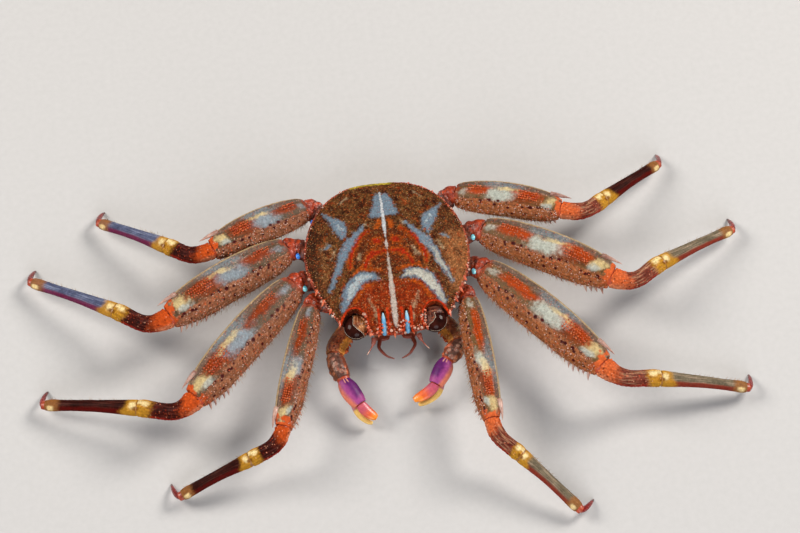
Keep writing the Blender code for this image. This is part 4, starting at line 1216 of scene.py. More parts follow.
def makeSegment(name, path, side, stations, lean, slot, finish, node, shape, rounds=3):
    # One segment: grown, measured, then sized in relief and coloured by its own shape function.
    stations = enlarged(stations)
    piece = grownLimb(path, side, ballSection, stations, lean, rounds)
    t, fore, rise, length = limbPlaces(piece, path, side, stations, lean)
    zones, height = shape(t, fore, rise, crabPoints(piece))
    swell(piece, height)
    mark(piece, limbPlace=lineUp(t, fore, rise, length, stations[len(stations) // 2][1] / 2), **zones)
    return finished(piece, name, slot, finish, node)


def hipShape(t, fore, rise, points):
    lumps, bead = pebbles(points, 1.3), pebbles(points, 0.45)
    height = 0.22 * lumps + 0.06 * bead - 0.14 * between(t, 0.74, 0.8, 0.04)
    return dict(arcs=between(t, 0.84, 0.97, 0.04), pale=between(t, 0.48, 0.66, 0.06) * ease(rise, 0.1, 0.7),
                bead=0.5 * lumps + 0.5 * bead, under=1.0 - ease(rise, -0.5, -0.1)), height


def carpusShape(t, fore, rise, points):
    s = t + wander(points, 1.6, 4.0) * 0.04 + wander(points, 0.6, 2.0) * 0.015
    bead = pebbles(points, 0.42)
    knee = 1.0 - ease(s + 0.08 * ease(-fore, -0.2, 0.8), 0.08, 0.4)
    ridge = ribs(fore, rise, 16)
    height = 0.04 * ridge * (1.0 - knee) + 0.1 * bead * np.maximum(knee, ease(fore, 0.4, 0.8))
    height += 0.04 * between(s, 0.84, 0.96, 0.04) + 0.03 * wander(points, 0.8, 6.0)
    return dict(knee=knee, pink=ease(fore, 0.45, 0.85) * (1.0 - ease(s, 0.1, 0.3)),
                edge=ease(fore, 0.72, 0.92) * between(s, 0.2, 0.76, 0.05),
                ring=ease(s - 0.05 * np.abs(fore), 0.66, 0.84), bead=bead * knee + 0.5 * ridge * (1.0 - knee) + 0.25,
                cream=patch(s, fore, 0.86, -0.3, 0.06, 0.3, 0.8) + patch(s, fore, 0.97, -0.5, 0.05, 0.24, 0.8) * 0.8,
                oval=patch(s, fore, 1.0, 0.3, 0.05, 0.2, 0.6) + patch(s, fore, 0.8, 0.1, 0.04, 0.14, 0.7) * 0.6,
                pits=ease(pebbles(points + 2.0, 0.9), 0.8, 0.94) * ease(knee, 0.1, 0.5) * ease(fore, -0.4, 0.1),
                under=1.0 - ease(rise, -0.55, -0.2)), height


def shinShape(t, fore, rise, points):
    s = t + wander(points, 1.6, 4.0) * 0.015 + wander(points, 0.6, 2.0) * 0.006
    height = 0.035 * ribs(fore, rise, 14) + 0.02 * wander(points, 0.8, 6.0) + 0.04 * between(s, 0.9, 0.97, 0.02)
    return dict(stripe=ease(fore, 0.15, 0.75) * between(s, 0.09, 0.88, 0.04),
                ring=1.0 - ease(s - 0.06 * ease(fore, 0.0, 0.8), 0.05, 0.17),
                cream=patch(s, fore, 0.035, -0.1, 0.035, 0.4, 0.8) * 0.9,
                oval=patch(s, fore, 0.0, 0.3, 0.03, 0.2, 0.6),
                end=ease(s, 0.8, 0.9), spot=patch(s, fore, 0.935, 0.6, 0.04, 0.3, 0.6) * 0.9,
                under=1.0 - ease(rise, -0.55, -0.2)), height


def clawShape(t, fore, rise, points):
    return dict(tip=ease(t, 0.72, 0.95), root=1.0 - ease(t, 0.05, 0.14)), 0.02 * ribs(fore, rise, 8) * (1.0 - t)


def keepAboveFloor(piece):
    # The claw tip is worn flat where it stands.
    points = crabPoints(piece)
    points[:, 2] = np.maximum(points[:, 2], 0.0)
    movePoints(piece, points)


def shinBristles(side, number, piece, path, stations, lean):
    way = path[1](0.5)
    t, fore, rise, _ = limbPlaces(piece, path, side, stations, lean)
    bristleCoat(f"shin_bristles_{side}_{number}", piece, t, rise, (fore < -0.75) & (t > 0.08) & (t < 0.95), 46,
                lambda out: ((out + way * chance.uniform(0.2, 1.0)).normalized(), way), (0.3, 0.7), 0.026)


skins = []


def makeJointSkin(end, endWay, start, startWay, side, width, depth, golden=0.0):
    # Soft dark skin that shows in the gap between two hard segments.
    path = through([end - endWay * 0.5, (end + start) / 2, start + startWay * 0.5])
    narrow, full = (width * 0.88, depth * 0.88), (width, depth)
    skin = grownLimb(path, side, roundSection(8), [(0, *narrow), (0.25, *full), (0.75, *full), (1, *narrow)],
                     (0.0, 0.0), 1)
    mark(skin, ring=np.full(len(skin.data.vertices), golden))
    skins.append(skin)


shinLean = (10, 10)


def slope(drop, length):
    return math.degrees(math.asin(drop / length))


def makeLeg(side, number, size):
    hipOut, hipBack, merusTurn, carpusTurn, propodusTurn, clawTurn = poses[(side, number)]
    label, lean, gap = f"{side}_{number}", joint["lean"], joint["gap"]
    slim = 0.92 if number == 1 else 1.0
    reach = size["propodus"] + (joint["shinDrift"] * -sides[side] if number in (2, 3) else 0.0)
    start = mirrored(side, (size["start"][0] + hipOut, size["start"][1] + hipBack, joint["thighZ"]))
    merusWay = heading(side, merusTurn, slope(size["kneeZ"] - joint["thighZ"], size["merus"]))
    knee = start + merusWay * size["merus"]

    root, out = panelRoot(side, number, joint["hipZ"])
    hipWide, kneeWide = size["width"] * 0.6, size["width"] * 0.55
    makeSegment(f"hip_{label}", bezier(root, out, start, merusWay, 0.42, 0.42), side,
                [(0, 3.3, 2.4), (0.2, 3.7, 2.6), (0.45, 3.7, 2.6), (0.7, 3.8, 2.5), (0.82, 3.9, 2.5),
                 (0.92, hipWide, 2.5), (1, hipWide - 0.2, 2.3)],
                (0.0, lean), "leg_shell", hipCuticle, f"leg_{label}_base", hipShape)

    merusStart, merusEnd = start + merusWay * gap, knee - merusWay * joint["setback"]
    path = through([merusStart, merusStart.lerp(merusEnd, 0.5) + Vector((0, 0, 0.9)), merusEnd])
    thighTrim(side, number, makeThigh(side, number, path, size), path, size)
    makeJointSkin(start, merusWay, merusStart, merusWay, side, hipWide, 2.3)

    shinWay = heading(side, propodusTurn, -slope(size["wristZ"] - joint["ankleZ"], reach))
    wrist = knee + heading(side, carpusTurn, -slope(size["kneeZ"] - size["wristZ"], size["carpus"])) * size["carpus"]
    carpusStart = merusEnd + merusWay * gap
    makeSegment(f"carpus_{label}", bezier(carpusStart, merusWay, wrist, shinWay, 0.52, 0.4), side,
                [(0, kneeWide, 2.4), (0.08, size["width"] * 0.52, 2.5), (0.2, 3.3 * slim, 2.6),
                 (0.34, 3.15 * slim, 2.55), (0.5, 3.0 * slim, 2.45), (0.66, 3.0 * slim, 2.35),
                 (0.8, 3.1 * slim, 2.35), (0.93, 3.15 * slim, 2.3), (1, 3.05 * slim, 2.2)],
                (lean * 0.6, 10), "leg_shell", sideLitCarpusCuticle["light" if side == "left" else "dark"],
                f"leg_{label}_carpus", carpusShape)
    makeJointSkin(merusEnd, merusWay, carpusStart, merusWay, side, size["width"] * 0.56, 2.35)

    ankle, shinStart = wrist + shinWay * reach, wrist + shinWay * gap
    shinPath = through([shinStart, wrist.lerp(ankle, 0.5) + Vector((0, 0, 0.35)), ankle])
    shinStations = [(0, 3.0 * slim, 2.15), (0.05, 3.05 * slim, 2.2), (0.2, 2.6 * slim, 2.0),
                    (0.45, 2.2 * slim, 1.75), (0.75, 2.0, 1.6), (0.93, 2.2, 1.75), (1, 1.9, 1.5)]
    shin = makeSegment(f"shin_{label}", shinPath, side, shinStations, shinLean, "leg_band",
                       shinCuticle[shinTints[(side, number)]], f"leg_{label}_propodus", shinShape)
    shinBristles(side, number, shin, shinPath, shinStations, shinLean)
    makeJointSkin(wrist, shinWay, shinStart, shinWay, side, 3.1, 2.2, 1.0)

    foot = ankle + heading(side, clawTurn) * joint["clawReach"]
    foot.z = joint["tipZ"]
    clawStart = ankle + shinWay * gap
    clawPath = bezier(clawStart, shinWay, foot, heading(side, clawTurn + 18, -50), 0.26, 0.42)
    claw = makeSegment(f"claw_{label}", clawPath, side,
                       [(0, 1.4, 1.25), (0.15, 1.35, 1.25), (0.4, 1.05, 1.0), (0.7, 0.78, 0.74), (0.9, 0.52, 0.5),
                        (1, 0.34, 0.32)], (0, 0), "claw_tip", clawHorn, f"leg_{label}_dactylus", clawShape, 2)
    keepAboveFloor(claw)
    makeJointSkin(ankle, shinWay, clawStart, shinWay, side, 1.9, 1.4)


for side in sides:
    for number, size in legs.items():
        makeLeg(side, number, size)
print("legs made")

# Pincers

pincers = {
    "left": dict(arm=[(8.7, -12.0, 3.4), (10.5, -14.9, 3.7), (10.8, -17.0, 4.5)],
                 wrist=[(10.1, -18.9, 4.9), (8.8, -20.3, 4.7)], palm=[(7.5, -22.3, 4.4), (5.95, -24.6, 3.8)],
                 finger=[(4.1, -26.2, 3.2), (1.75, -26.9, 2.7)]),
    "right": dict(arm=[(8.7, -12.0, 3.4), (10.8, -14.9, 3.7), (11.3, -17.2, 4.5)],
                  wrist=[(11.1, -19.7, 4.9), (10.4, -22.0, 4.7)], palm=[(9.3, -24.6, 4.3), (7.85, -27.0, 3.7)],
                  finger=[(6.7, -28.6, 3.1), (5.1, -29.6, 2.6)]),
    "rootZ": 4.45, "thumbDrop": 1.15, "fingerLift": 0.35,
    "armStations": [(0, 2.6, 1.8), (0.12, 3.0, 2.0), (0.35, 3.6, 2.3), (0.6, 3.9, 2.7), (0.85, 3.7, 2.7),
                    (1, 3.1, 2.3)],
    "wristStations": [(0, 2.8, 2.2), (0.2, 3.3, 2.6), (0.5, 3.6, 2.8), (0.85, 3.3, 2.7), (1, 2.8, 2.3)],
    "palmStations": [(0, 2.0, 1.7), (0.1, 2.8, 2.2), (0.3, 3.5, 2.6), (0.55, 3.7, 2.75), (0.85, 3.3, 2.55),
                     (1, 2.7, 2.2)],
    "thumbStations": [(0, 1.5, 1.1), (0.4, 1.35, 0.95), (0.8, 1.15, 0.85), (0.95, 0.95, 0.75), (1, 0.6, 0.5)],
    "fingerStations": [(0, 1.9, 1.2), (0.2, 2.2, 1.3), (0.55, 2.2, 1.25), (0.82, 1.9, 1.1), (0.95, 1.4, 0.8),
                       (1, 0.9, 0.5)],
}
armCuticle = cuticle("arm_cuticle", {
    "body": [(0.3, "#6A3424"), (0.5, "#8C4A30"), (0.7, "#A8683E")],
    "ground": {"outer": ("#C07A3E", 0.9), "inner": ("#CC8436", 0.9)},
    "mottles": [(0.9, "#9A3C1C", 0.56, 0.68, 0.5)],
    "flecks": [("#C05028", 0.2, 0.6), ("#C8A08A", 0.12, 0.55), ("#2E0E0A", 0.12, 0.6)],
    "zones": {"dots": ("#3A1410", 0.8), "under": "#9A6A50"}, "broad": 1.2, "soft": 0.34, "specks": 0.34,
    "speckled": (0.84, 1.12), "shaded": (0.75, 1.22), "granuleLightShade": (0.76, 1.2), "beaded": 0.5, "relief": 0.07,
    "rough": (0.3, 0.44), "coat": 0.2, "gleam": 0.25, "glow": 0.1})
wristCuticle = cuticle("wrist_cuticle", {
    "body": [(0.3, "#6A3E32"), (0.5, "#8E6050"), (0.7, "#A88874")],
    "ground": {"inner": ("#C05E38", 0.9), "outer": ("#A8603A", 0.85)},
    "flecks": [("#B04C2C", 0.14, 0.6), ("#C8B0A0", 0.1, 0.6)],
    "zones": {"dots": ("#2A120E", 0.6), "under": "#96705E"}, "broad": 0.9, "soft": 0.34, "specks": 0.34,
    "speckled": (0.84, 1.12), "shaded": (0.75, 1.22), "granuleLightShade": (0.7, 1.2), "beaded": 0.5, "relief": 0.07,
    "rough": (0.32, 0.46), "coat": 0.15, "gleam": 0.2})
palmEnamel = cuticle("palm_enamel", {
    "body": [(0.3, "#440E4E"), (0.7, "#5C1C5E")],
    "zones": {"rose": ("#9C4680", 0.85), "peach": ("#D47A54", 0.85), "forkHighlights": ("#D8967C", 0.7), "under": "#A87078",
              "thumb": "#E0B868"},
    "grain": 0.6, "broad": 2.2, "ragged": 0.35, "soft": 0.42, "specks": 0.4, "speckled": (0.92, 1.06),
    "shaded": (0.9, 1.1), "beaded": 0.05, "relief": 0.02, "rough": (0.42, 0.54), "coat": 0.08, "coatRough": 0.2,
    "gleam": 0.12, "glow": 0.15})
fingerEnamel = cuticle("finger_enamel", {
    "body": [(0.3, "#A0405E"), (0.7, "#BC5660")], "zones": {"warm": ("#D05C20", 0.95), "tip": "#E0801E"},
    "grain": 0.6, "broad": 2.2, "ragged": 0.35, "soft": 0.42, "specks": 0.4, "speckled": (0.92, 1.06),
    "shaded": (0.92, 1.08), "beaded": 0.05, "relief": 0.02, "rough": (0.3, 0.42), "glow": 0.2})


def armShape(t, fore, rise, points):
    bead = pebbles(points, 0.42)
    dots = pebbles(points + 3.0, 0.9) * between(fore, -0.5, 0.4, 0.1) * ease(rise, 0.1, 0.4)
    height = 0.08 * bead + 0.04 * wander(points, 0.8, 1.0)
    return dict(inner=ease(fore, 0.2, 0.65), outer=1.0 - ease(fore, -0.8, -0.5), dots=ease(dots, 0.72, 0.9),
                bead=bead, under=1.0 - ease(rise, -0.5, -0.1)), height


def wristShape(t, fore, rise, points):
    knobs, bead = pebbles(points, 0.95), pebbles(points, 0.4)
    return dict(inner=ease(fore, 0.3, 0.7), dots=1.0 - ease(knobs, 0.1, 0.32), bead=0.5 * bead + 0.5 * knobs,
                outer=1.0 - ease(fore, -0.75, -0.35), under=1.0 - ease(rise, -0.5, -0.1)), 0.18 * knobs + 0.05 * bead


def palmShape(t, fore, rise, points):
    s = t + wander(points, 1.5) * 0.05
    # Two pale forked streaks on top of the palm near its base are painted highlights.
    forkHighlights = patch(s, fore, 0.12, 0.25, 0.1, 0.09, 0.5) + patch(s, fore, 0.1, -0.1, 0.12, 0.07, 0.5)
    outward = -fore + 0.3 * s
    return dict(rose=np.maximum(ease(outward, -0.2, 0.8), ease(s, 0.6, 1.05)), peach=ease(outward, 0.45, 1.15),
                thumb=ease(t, 0.98, 1.12), forkHighlights=forkHighlights * ease(rise, 0.2, 0.6),
                under=1.0 - ease(rise, -0.7, -0.2)), 0.02 * wander(points, 0.9)


def fingerShape(t, fore, rise, points):
    return dict(warm=ease(t, 0.05, 0.85), tip=ease(t - 0.12 * fore, 0.55, 1.0)), 0.015 * wander(points, 0.8)


def armTeeth(side, path, stations):
    # Teeth along the arm's inner edge.
    place, way = path
    teeth = []
    for i in range(10):
        t = 0.22 + 0.075 * i
        inner, _ = acrossLimb(way(t), side, 0)
        half = float(np.interp(t, [s[0] for s in stations], [s[1] for s in stations])) / 2
        point = inner + way(t) * 0.5 + Vector((0, 0, 0.15))
        teeth.append((place(t) + inner * (half - 0.12), standing(point, way(t), chance.uniform(0.45, 0.75), 0.26)))
    finished(scattered(thorn, teeth), f"arm_teeth_{side}", "leg_shell", emberHorn)


def makePalm(side, path, end, tip):
    # The palm and its fixed thumb, which passes below the finger.
    stations, way = pincers["palmStations"], path[1](1.0)
    palm = grownLimb(path, side, ballSection, enlarged(stations, 1.03, 1.03), (0, 0), 3)
    drop = Vector((0, 0, -pincers["thumbDrop"]))
    outer = way.cross(Vector((0, 0, 1))) * -sides[side]
    thumbPath = through([end - way * 1.5 + drop * 0.7 + outer * 0.6, end + way * 1.4 + drop + outer * 1.25,
                         tip - way * 0.2 + drop + outer * 0.9])
    thumb = grownLimb(thumbPath, side, roundSection(8), pincers["thumbStations"], (0, 0), 3)
    joinOrCut(palm, [thumb], "UNION")
    t, fore, rise, length = limbPlaces(palm, path, side, stations, (0, 0))
    zones, height = palmShape(t, fore, rise, crabPoints(palm))
    swell(palm, height)
    mark(palm, limbPlace=lineUp(t, fore, rise, length, 1.6), **zones)
    finished(palm, f"pincer_palm_{side}", "pincer_purple", palmEnamel, f"pincer_{side}_palm")


def makePincer(side):
    plan = pincers[side]
    end, way = panelRoot(side, 0, pincers["rootZ"])
    for name, stations, finish, shape in (("arm", pincers["armStations"], armCuticle, armShape),
                                          ("wrist", pincers["wristStations"], wristCuticle, wristShape)):
        path = through([end, *(mirrored(side, p) for p in plan[name])], way)
        makeSegment(f"pincer_{name}_{side}", path, side, stations, (0, 0), "leg_shell", finish,
                    f"pincer_{side}_{name}", shape)
        if name == "arm":
            armTeeth(side, path, stations)
        way = path[1](1.0)
        end = path[0](1.0) + way * joint["gap"]
        makeJointSkin(path[0](1.0), way, end, way, side, 2.7, 2.1)
    path = through([end, *(mirrored(side, p) for p in plan["palm"])], way)
    way = path[1](1.0)
    end = path[0](1.0) + way * joint["gap"]
    tip = mirrored(side, plan["finger"][-1])
    makePalm(side, path, end, tip)
    lift = Vector((0, 0, pincers["fingerLift"]))
    fingerPath = through([end + lift, mirrored(side, plan["finger"][0]) + lift, tip + lift], way)
    makeSegment(f"pincer_finger_{side}", fingerPath, side, pincers["fingerStations"], (0, 0), "pincer_orange",
                fingerEnamel, f"pincer_{side}_finger", fingerShape)
    makeJointSkin(path[0](1.0), way, end + lift, way, side, 2.0, 1.3)


for side in sides:
    makePincer(side)
print("pincers made")

# Eyes: a glossy cornea under a cap of shell whose edge runs in an S across the top

eye = {"centre": (7.15, -13.5, 7.1), "radii": (2.15, 2.35, 1.6), "lineRadius": 0.04, "rimRadius": 0.022,
       "arcSpacing": 0.5,
       "capRear": {"left": 0.33, "right": 0.94},
       "capEdge": {"left": [(-0.85, -0.8), (-0.74, -0.67), (-0.54, -0.53), (-0.42, -0.25), (-0.09, 0.04),
                            (0.33, -0.06)],
                   "right": [(-0.85, -0.72), (-0.63, -0.42), (-0.41, -0.08), (-0.04, 0.22), (0.6, 0.13), (1.0, 0.1)]},
       "collar": {"left": ((7.1, -12.3, 7.25), (2.0, 2.0, 1.45)), "right": ((5.8, -12.9, 7.0), (1.3, 2.0, 1.35))}}
cornea = cuticle("cornea", {
    "body": [(0.3, "#1A0806"), (0.7, "#34140E")], "grain": 0.8, "broad": 1.5, "specks": 0.12,
    "speckled": (0.9, 1.1), "shaded": (0.9, 1.1), "relief": 0.002, "rough": (0.07, 0.12), "coat": 0.0,
    "gleam": 0.08})
stalkCuticle = {side: cuticle("stalk_cuticle_" + side, {
    "body": [(0.3, low), (0.5, half), (0.7, high)], "zones": {"arcs": (line, 0.55)}, "broad": 0.9,
    "overFlecks": [("#A85428", 0.12, 0.5)], "specks": 0.3, "speckled": (0.7, 1.15), "shaded": (0.75, 1.25),
    "beaded": 0.4, "relief": 0.04, "rough": (0.42, 0.56), "coat": 0.08, "gleam": 0.15})
    for side, low, half, high, line in (("left", "#2A0E0A", "#4A2016", "#6A3826", "#8A5A46"),
                                        ("right", "#4A1C10", "#783E1E", "#A06A38", "#C0906A"))}
eyeLine = cuticle("eye_line", {
    "body": [(0.3, "#A08A74"), (0.7, "#C8B8A4")], "grain": 0.6, "specks": 0.4, "speckled": (0.85, 1.1),
    "shaded": (0.9, 1.1)})


def eyeEdge(side, v):
    # The cap's edge across the eye, from the rear (v is 1) to the front (v is -1).
    rear = eye["capRear"][side]
    return np.interp(v, *zip(*eye["capEdge"][side])) + 1.2 * ease(v, rear - 0.05, rear + 0.16)


def eyePoint(side, x, y, z):
    (cx, cy, cz), (rx, ry, rz) = eye["centre"], eye["radii"]
    return toFrame(mirrored(side, (cx + x * rx, cy + y * ry, cz + z * rz)))


def eyeShares(side, piece):
    # The piece's points in shares of the eye's radii, x outward.
    local = (crabPoints(piece) - np.array(mirrored(side, eye["centre"]))) / np.array(eye["radii"])
    return local[:, 0] * sides[side], local[:, 1]


def tubeAlong(points, radius):
    path = bpy.data.curves.new("line", "CURVE")
    path.dimensions = "3D"
    path.bevel_depth = radius * mm
    path.bevel_resolution = 3
    path.use_fill_caps = True
    spline = path.splines.new("POLY")
    spline.points.add(len(points) - 1)
    for knot, point in zip(spline.points, points):
        knot.co = (*point, 1.0)
    holder = bpy.data.objects.new("line", path)
    bpy.context.scene.collection.objects.link(holder)
    pick(holder)
    bpy.ops.object.convert(target="MESH")
    return bpy.context.object


def makeEye(side):
    centre = mirrored(side, eye["centre"])
    ball = ballAt(centre, eye["radii"])
    facedOut(ball)
    finished(ball, f"cornea_{side}", "eye", cornea, f"eye_{side}")
    cap = ballAt(centre, [r * 1.045 for r in eye["radii"]])
    subdivided(cap, 1)
    x, y = eyeShares(side, cap)
    keep = x < eyeEdge(side, y)
    for corner, kept in zip(cap.data.vertices, keep):
        corner.select = not kept
    for face in cap.data.polygons:
        face.select = not all(keep[i] for i in face.vertices)
    for edge in cap.data.edges:
        edge.select = not all(keep[i] for i in edge.vertices)
    pick(cap)
    bpy.ops.object.mode_set(mode="EDIT")
    bpy.ops.mesh.delete(type="FACE")
    objectMode()
    applied(cap, "SOLIDIFY", thickness=0.1 * mm, offset=-1.0)
    x, y = eyeShares(side, cap)
    arcs = between((eyeEdge(side, y) - x) * eye["radii"][0] / eye["arcSpacing"] % 1.0, 0.4, 0.6, 0.12)
    swell(cap, 0.04 * pebbles(crabPoints(cap), 0.4) + 0.04 * arcs)
    mark(cap, arcs=arcs)
    finished(cap, f"eye_cap_{side}", "eye", stalkCuticle[side])
    place, radii = eye["collar"][side]
    collar = ballAt(mirrored(side, place), radii)
    points = crabPoints(collar)
    swell(collar, 0.05 * pebbles(points, 0.5) + 0.04 * wander(points, 0.9))
    mark(collar, arcs=between(points[:, 1] % 0.8, 0.3, 0.5, 0.1))
    finished(collar, f"eye_stalk_{side}", "eye", stalkCuticle[side])
    edgeLine = []
    rear = eye["capRear"][side] + 0.02
    for i in range(41):
        v = rear - (rear + 0.83) * i / 40
        x = min(float(eyeEdge(side, v)), math.sqrt(1.0 - v * v))
        edgeLine.append(eyePoint(side, x * 1.03, v * 1.03, math.sqrt(max(0.0, 1.0 - x * x - v * v)) * 1.03))
    finished(tubeAlong(edgeLine, eye["lineRadius"]), f"eye_line_{side}", "eye", eyeLine)
    ring = []
    for i in range(33):
        turn = math.asin(rear) - (math.asin(rear) + math.radians(120)) * i / 32
        ring.append(eyePoint(side, math.cos(turn) * 0.99, math.sin(turn) * 0.99, 0.16))
    finished(tubeAlong(ring, eye["rimRadius"]), f"eye_rim_{side}", "eye", eyeLine)


for side in sides:
    makeEye(side)
print("eyes made")

# Feelers, mouth limbs, breast plate and tail flap

bladeChitin = cuticle("blade_chitin", {
    "body": [(0.3, "#4E8CB8"), (0.7, "#8CC0DC")], "zones": {"tip": "#8FB4C4"}, "grain": 0.6, "specks": 0.4,
    "speckled": (0.9, 1.1), "relief": 0.02, "rough": (0.42, 0.55), "coat": 0.04, "gleam": 0.15, "glow": 0.1})
feelerCuticle = cuticle("feeler_cuticle", {
    "body": [(0.3, "#7A3226"), (0.7, "#A85A48")], "zones": {"tip": "#C89A84"}, "grain": 0.5, "specks": 0.3,
    "speckled": (0.75, 1.15), "shaded": (0.8, 1.2), "beaded": 0.3, "relief": 0.03, "rough": (0.3, 0.5)})
bellyPlate = cuticle("belly_plate", {
    "body": [(0.3, "#A06A50"), (0.5, "#B98468"), (0.7, "#CFA488")],
    "zones": {"groove": "#6E3A28", "brow": "#74301F"}, "grain": 0.6, "broad": 2.6, "specks": 0.45,
    "speckled": (0.82, 1.1), "shaded": (0.82, 1.15), "beaded": 0.3, "relief": 0.04, "rough": (0.35, 0.5),
    "coat": 0.2, "glow": 0.08})


def flatFrame(way, *_):
    across = Vector((1, 0, 0))
    return across, way.cross(across).normalized()


def bladeFrame(way, *_):
    return way.cross(Vector((1, 0, 0))).normalized(), Vector((1, 0, 0))


def tipShape(t, fore, rise, points):
    return dict(tip=ease(t, 0.6, 1.0)), 0.02 * wander(points, 0.6)


def makeFeelers(side):
    x, floorZ = shell["slitX"], shell["slitFloor"]
    path = sidePath(side, [(x, -15.0, floorZ + 1.2), (x, -14.7, 7.7), (x, -13.5, 8.6), (x, -12.1, 9.2)])
    stations = [(0, 0.9, 0.8), (0.3, 1.3, 1.06), (0.6, 1.2, 1.0), (0.85, 0.9, 0.7), (1, 0.4, 0.3)]
    blade = grownLimb(path, side, ballSection, stations, (0, 0), 2, bladeFrame)
    t = limbPlaces(blade, path, side, stations, (0, 0), bladeFrame)[0]
    mark(blade, tip=ease(t, 0.6, 1.0))
    finished(blade, f"antennule_blade_{side}", "feeler_blue", bladeChitin, f"antennule_{side}")
    whip = sidePath(side, [(4.0, -15.15, 5.7), (4.3, -16.1, 5.4), (4.9, -17.2, 5.3), (5.6, -18.3, 5.6)])
    beads = [(0, 1.0), (0.15, 1.05), (0.24, 0.8), (0.3, 0.86), (0.4, 0.5), (0.46, 0.26), (0.7, 0.2), (1, 0.1)]
    makeSegment(f"antenna_whip_{side}", whip, side, [(t, wide, wide) for t, wide in beads], (0, 0), "feeler_red",
                feelerCuticle, f"antenna_{side}", tipShape, 2)


def makeJaw(side):
    plate = sidePath(side, [(2.6, -10.6, 3.5), (2.5, -12.6, 3.4), (2.3, -14.6, 3.5)])
    stations = [(0, 2.6, 0.9), (0.15, 3.4, 1.1), (0.5, 3.5, 1.15), (0.8, 3.2, 1.1), (1, 2.2, 0.8)]
    piece = grownLimb(plate, side, roundSection(10, 0.8), stations, (0, 0), 3)
    palp = sidePath(side, [(2.7, -13.8, 3.5), (3.3, -16.0, 3.6), (2.2, -17.6, 3.2), (0.7, -18.1, 2.5)])
    joints = [(0, 1.0, 0.8), (0.3, 0.8, 0.7), (0.36, 0.58, 0.5), (0.42, 0.66, 0.58), (0.66, 0.52, 0.48),
              (0.72, 0.38, 0.36), (0.78, 0.44, 0.4), (1, 0.22, 0.2)]
    joinOrCut(piece, [grownLimb(palp, side, roundSection(8), joints, (0, 0), 2)], "UNION")
    points = crabPoints(piece)
    mark(piece, brow=ease(-points[:, 1], 13.4, 14.4), groove=np.zeros(len(points)))
    swell(piece, 0.03 * pebbles(points, 0.5))
    finished(piece, f"mouth_limb_{side}", "belly", bellyPlate, f"maxilliped_{side}")


belly = {
    "topZ": 6.3, "layers": ((0.1, 1.0), (2.1, 1.0), (0.1, 1.0), (0.7, 0.88), (0.1, 0.96), (0.05, 0.7), (0.0, 0.4)),
    "grooves": [[(4.2, -6.0, 0.25), (9.0, -8.6, 0.3)], [(4.0, -2.8, 0.25), (12.0, -4.6, 0.3)],
                [(4.0, 0.8, 0.25), (13.4, 0.6, 0.3)], [(4.0, 4.4, 0.25), (12.8, 6.8, 0.3)],
                [(0.0, -9.0, 0.15), (0.0, -4.0, 0.2)]],
    "grooveDepth": 0.25,
}


def makeBelly():
    # Breast plate: a ring of flat panels, one for each limb, extruded down and drawn in.
    ring = [Vector((x, y, belly["topZ"])) for x, y in bellyCorners]
    ring += [Vector((-p.x, p.y, p.z)) for p in reversed(ring)]
    centre = toFrame((0, 0, belly["topZ"]))
    piece = primitive(bpy.ops.mesh.primitive_circle_add, vertices=len(ring), radius=10 * mm, fill_type="NGON",
                      location=centre)
    for corner, place in zip(piece.data.vertices, ring):
        corner.co = toFrame(place)
    editing(piece)
    for drop, size in belly["layers"]:
        extruded((0, 0, -drop * mm), (size, size, 1), centre)
    objectMode()
    facedOut(piece)
    applied(piece, "BEVEL", width=0.25 * mm, segments=2, limit_method="ANGLE")
    applied(piece, "REMESH", mode="VOXEL", voxel_size=0.3 * mm)
    applied(piece, "SMOOTH", factor=0.5, iterations=3)
    facedOut(piece)
    points = crabPoints(piece)
    cover = nearestLine(np.abs(points[:, 0]), points[:, 1], belly["grooves"])
    groove = ease(cover, -0.25, 0.15) * ease(-pointNormals(piece)[:, 2], 0.0, 0.5)
    swell(piece, -belly["grooveDepth"] * groove + 0.03 * wander(points, 0.9) + 0.02 * pebbles(points, 0.6))
    mark(piece, groove=groove, brow=ease(points[:, 2], 5.4, 6.2))
    finished(piece, "breast_plate", "belly", bellyPlate, "thorax")


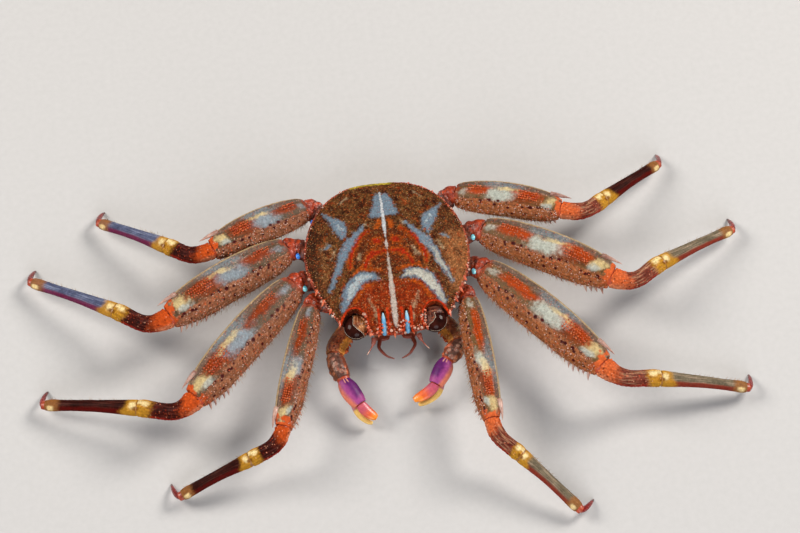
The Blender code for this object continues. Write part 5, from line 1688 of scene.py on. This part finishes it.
def makeTailFlap():
    # Seven overlapping plates folded forward under the breast.
    path = through([Vector((0, y, z)) for y, z in (
        (14.5, 6.0), (14.4, 4.2), (13.1, 2.5), (9.0, 2.25), (4.0, 2.25), (0.0, 2.25), (-3.2, 2.3))])
    widths = (9.0, 10.4, 11.4, 12.0, 12.0, 10.6, 6.0)
    stations = []
    for i, width in enumerate(widths):
        following = widths[i + 1] if i + 1 < len(widths) else 2.6
        start, end = i / len(widths), (i + 1) / len(widths)
        stations += [(start + 0.006, width - 0.6, 0.6), (start + 0.02, width - 0.1, 0.82), (start + 0.06, width, 0.9),
                     ((start + end) / 2, (width + following) / 2, 0.85), (end - 0.012, following - 0.1, 0.84)]
    section = [(-1, 0.25), (-0.8, 0.75), (-0.4, 1), (0, 1.05), (0.4, 1), (0.8, 0.75), (1, 0.25), (1, -0.35),
               (0.7, -0.9), (0.3, -1), (-0.3, -1), (-0.7, -0.9), (-1, -0.35)]
    piece = grownLimb(path, "left", section, stations, (0, 0), 2, flatFrame)
    t = limbPlaces(piece, path, "left", stations, (0, 0), flatFrame)[0]
    seam = np.abs(((t * len(widths) + 0.5) % 1.0) - 0.5)
    points = crabPoints(piece)
    swell(piece, 0.03 * wander(points, 1.2) + 0.02 * pebbles(points, 0.6))
    mark(piece, groove=1.0 - ease(seam, 0.02, 0.07), brow=np.zeros(len(points)))
    finished(piece, "tail_flap", "belly", bellyPlate, "abdomen")


spots = {"bright": [(-16.07, 2.5), (-12.75, 9.25)], "pale": [(-15.43, -4.37), (16.14, 2.87), (15.4, -4.23)],
         "z": 6.9, "radii": (0.42, 0.62, 0.3)}
spotEnamel = {tint: cuticle("spot_enamel_" + tint, {
    "body": [(0.3, low), (0.7, high)], "grain": 0.3, "broad": 0.6, "specks": 0.3, "speckled": (0.9, 1.1),
    "beaded": 0.2, "relief": 0.02, "rough": (0.15, 0.25), "coat": 0.6, "glow": 0.2})
    for tint, low, high in (("bright", "#1E5CC8", "#4A9CF0"), ("pale", "#3E9CB4", "#8ED2D8"))}
for tint in spotEnamel:
    for number, (x, y) in enumerate(spots[tint], 1):
        bead = ballAt((x, y, spots["z"]), spots["radii"])
        swell(bead, 0.05 * wander(crabPoints(bead), 0.4, 3.0))
        finished(bead, f"hip_spot_{tint}_{number}", "feeler_blue", spotEnamel[tint])

for side in sides:
    makeFeelers(side)
    makeJaw(side)
makeBelly()
makeTailFlap()
pick(skins[0])
for skin in skins:
    skin.select_set(True)
bpy.ops.object.join()
finished(bpy.context.object, "joint_skins", "leg_shell", jointSkin)
print("underside, mouth and feelers made")

for small in (granule, thorn, bristle):
    removed(small)
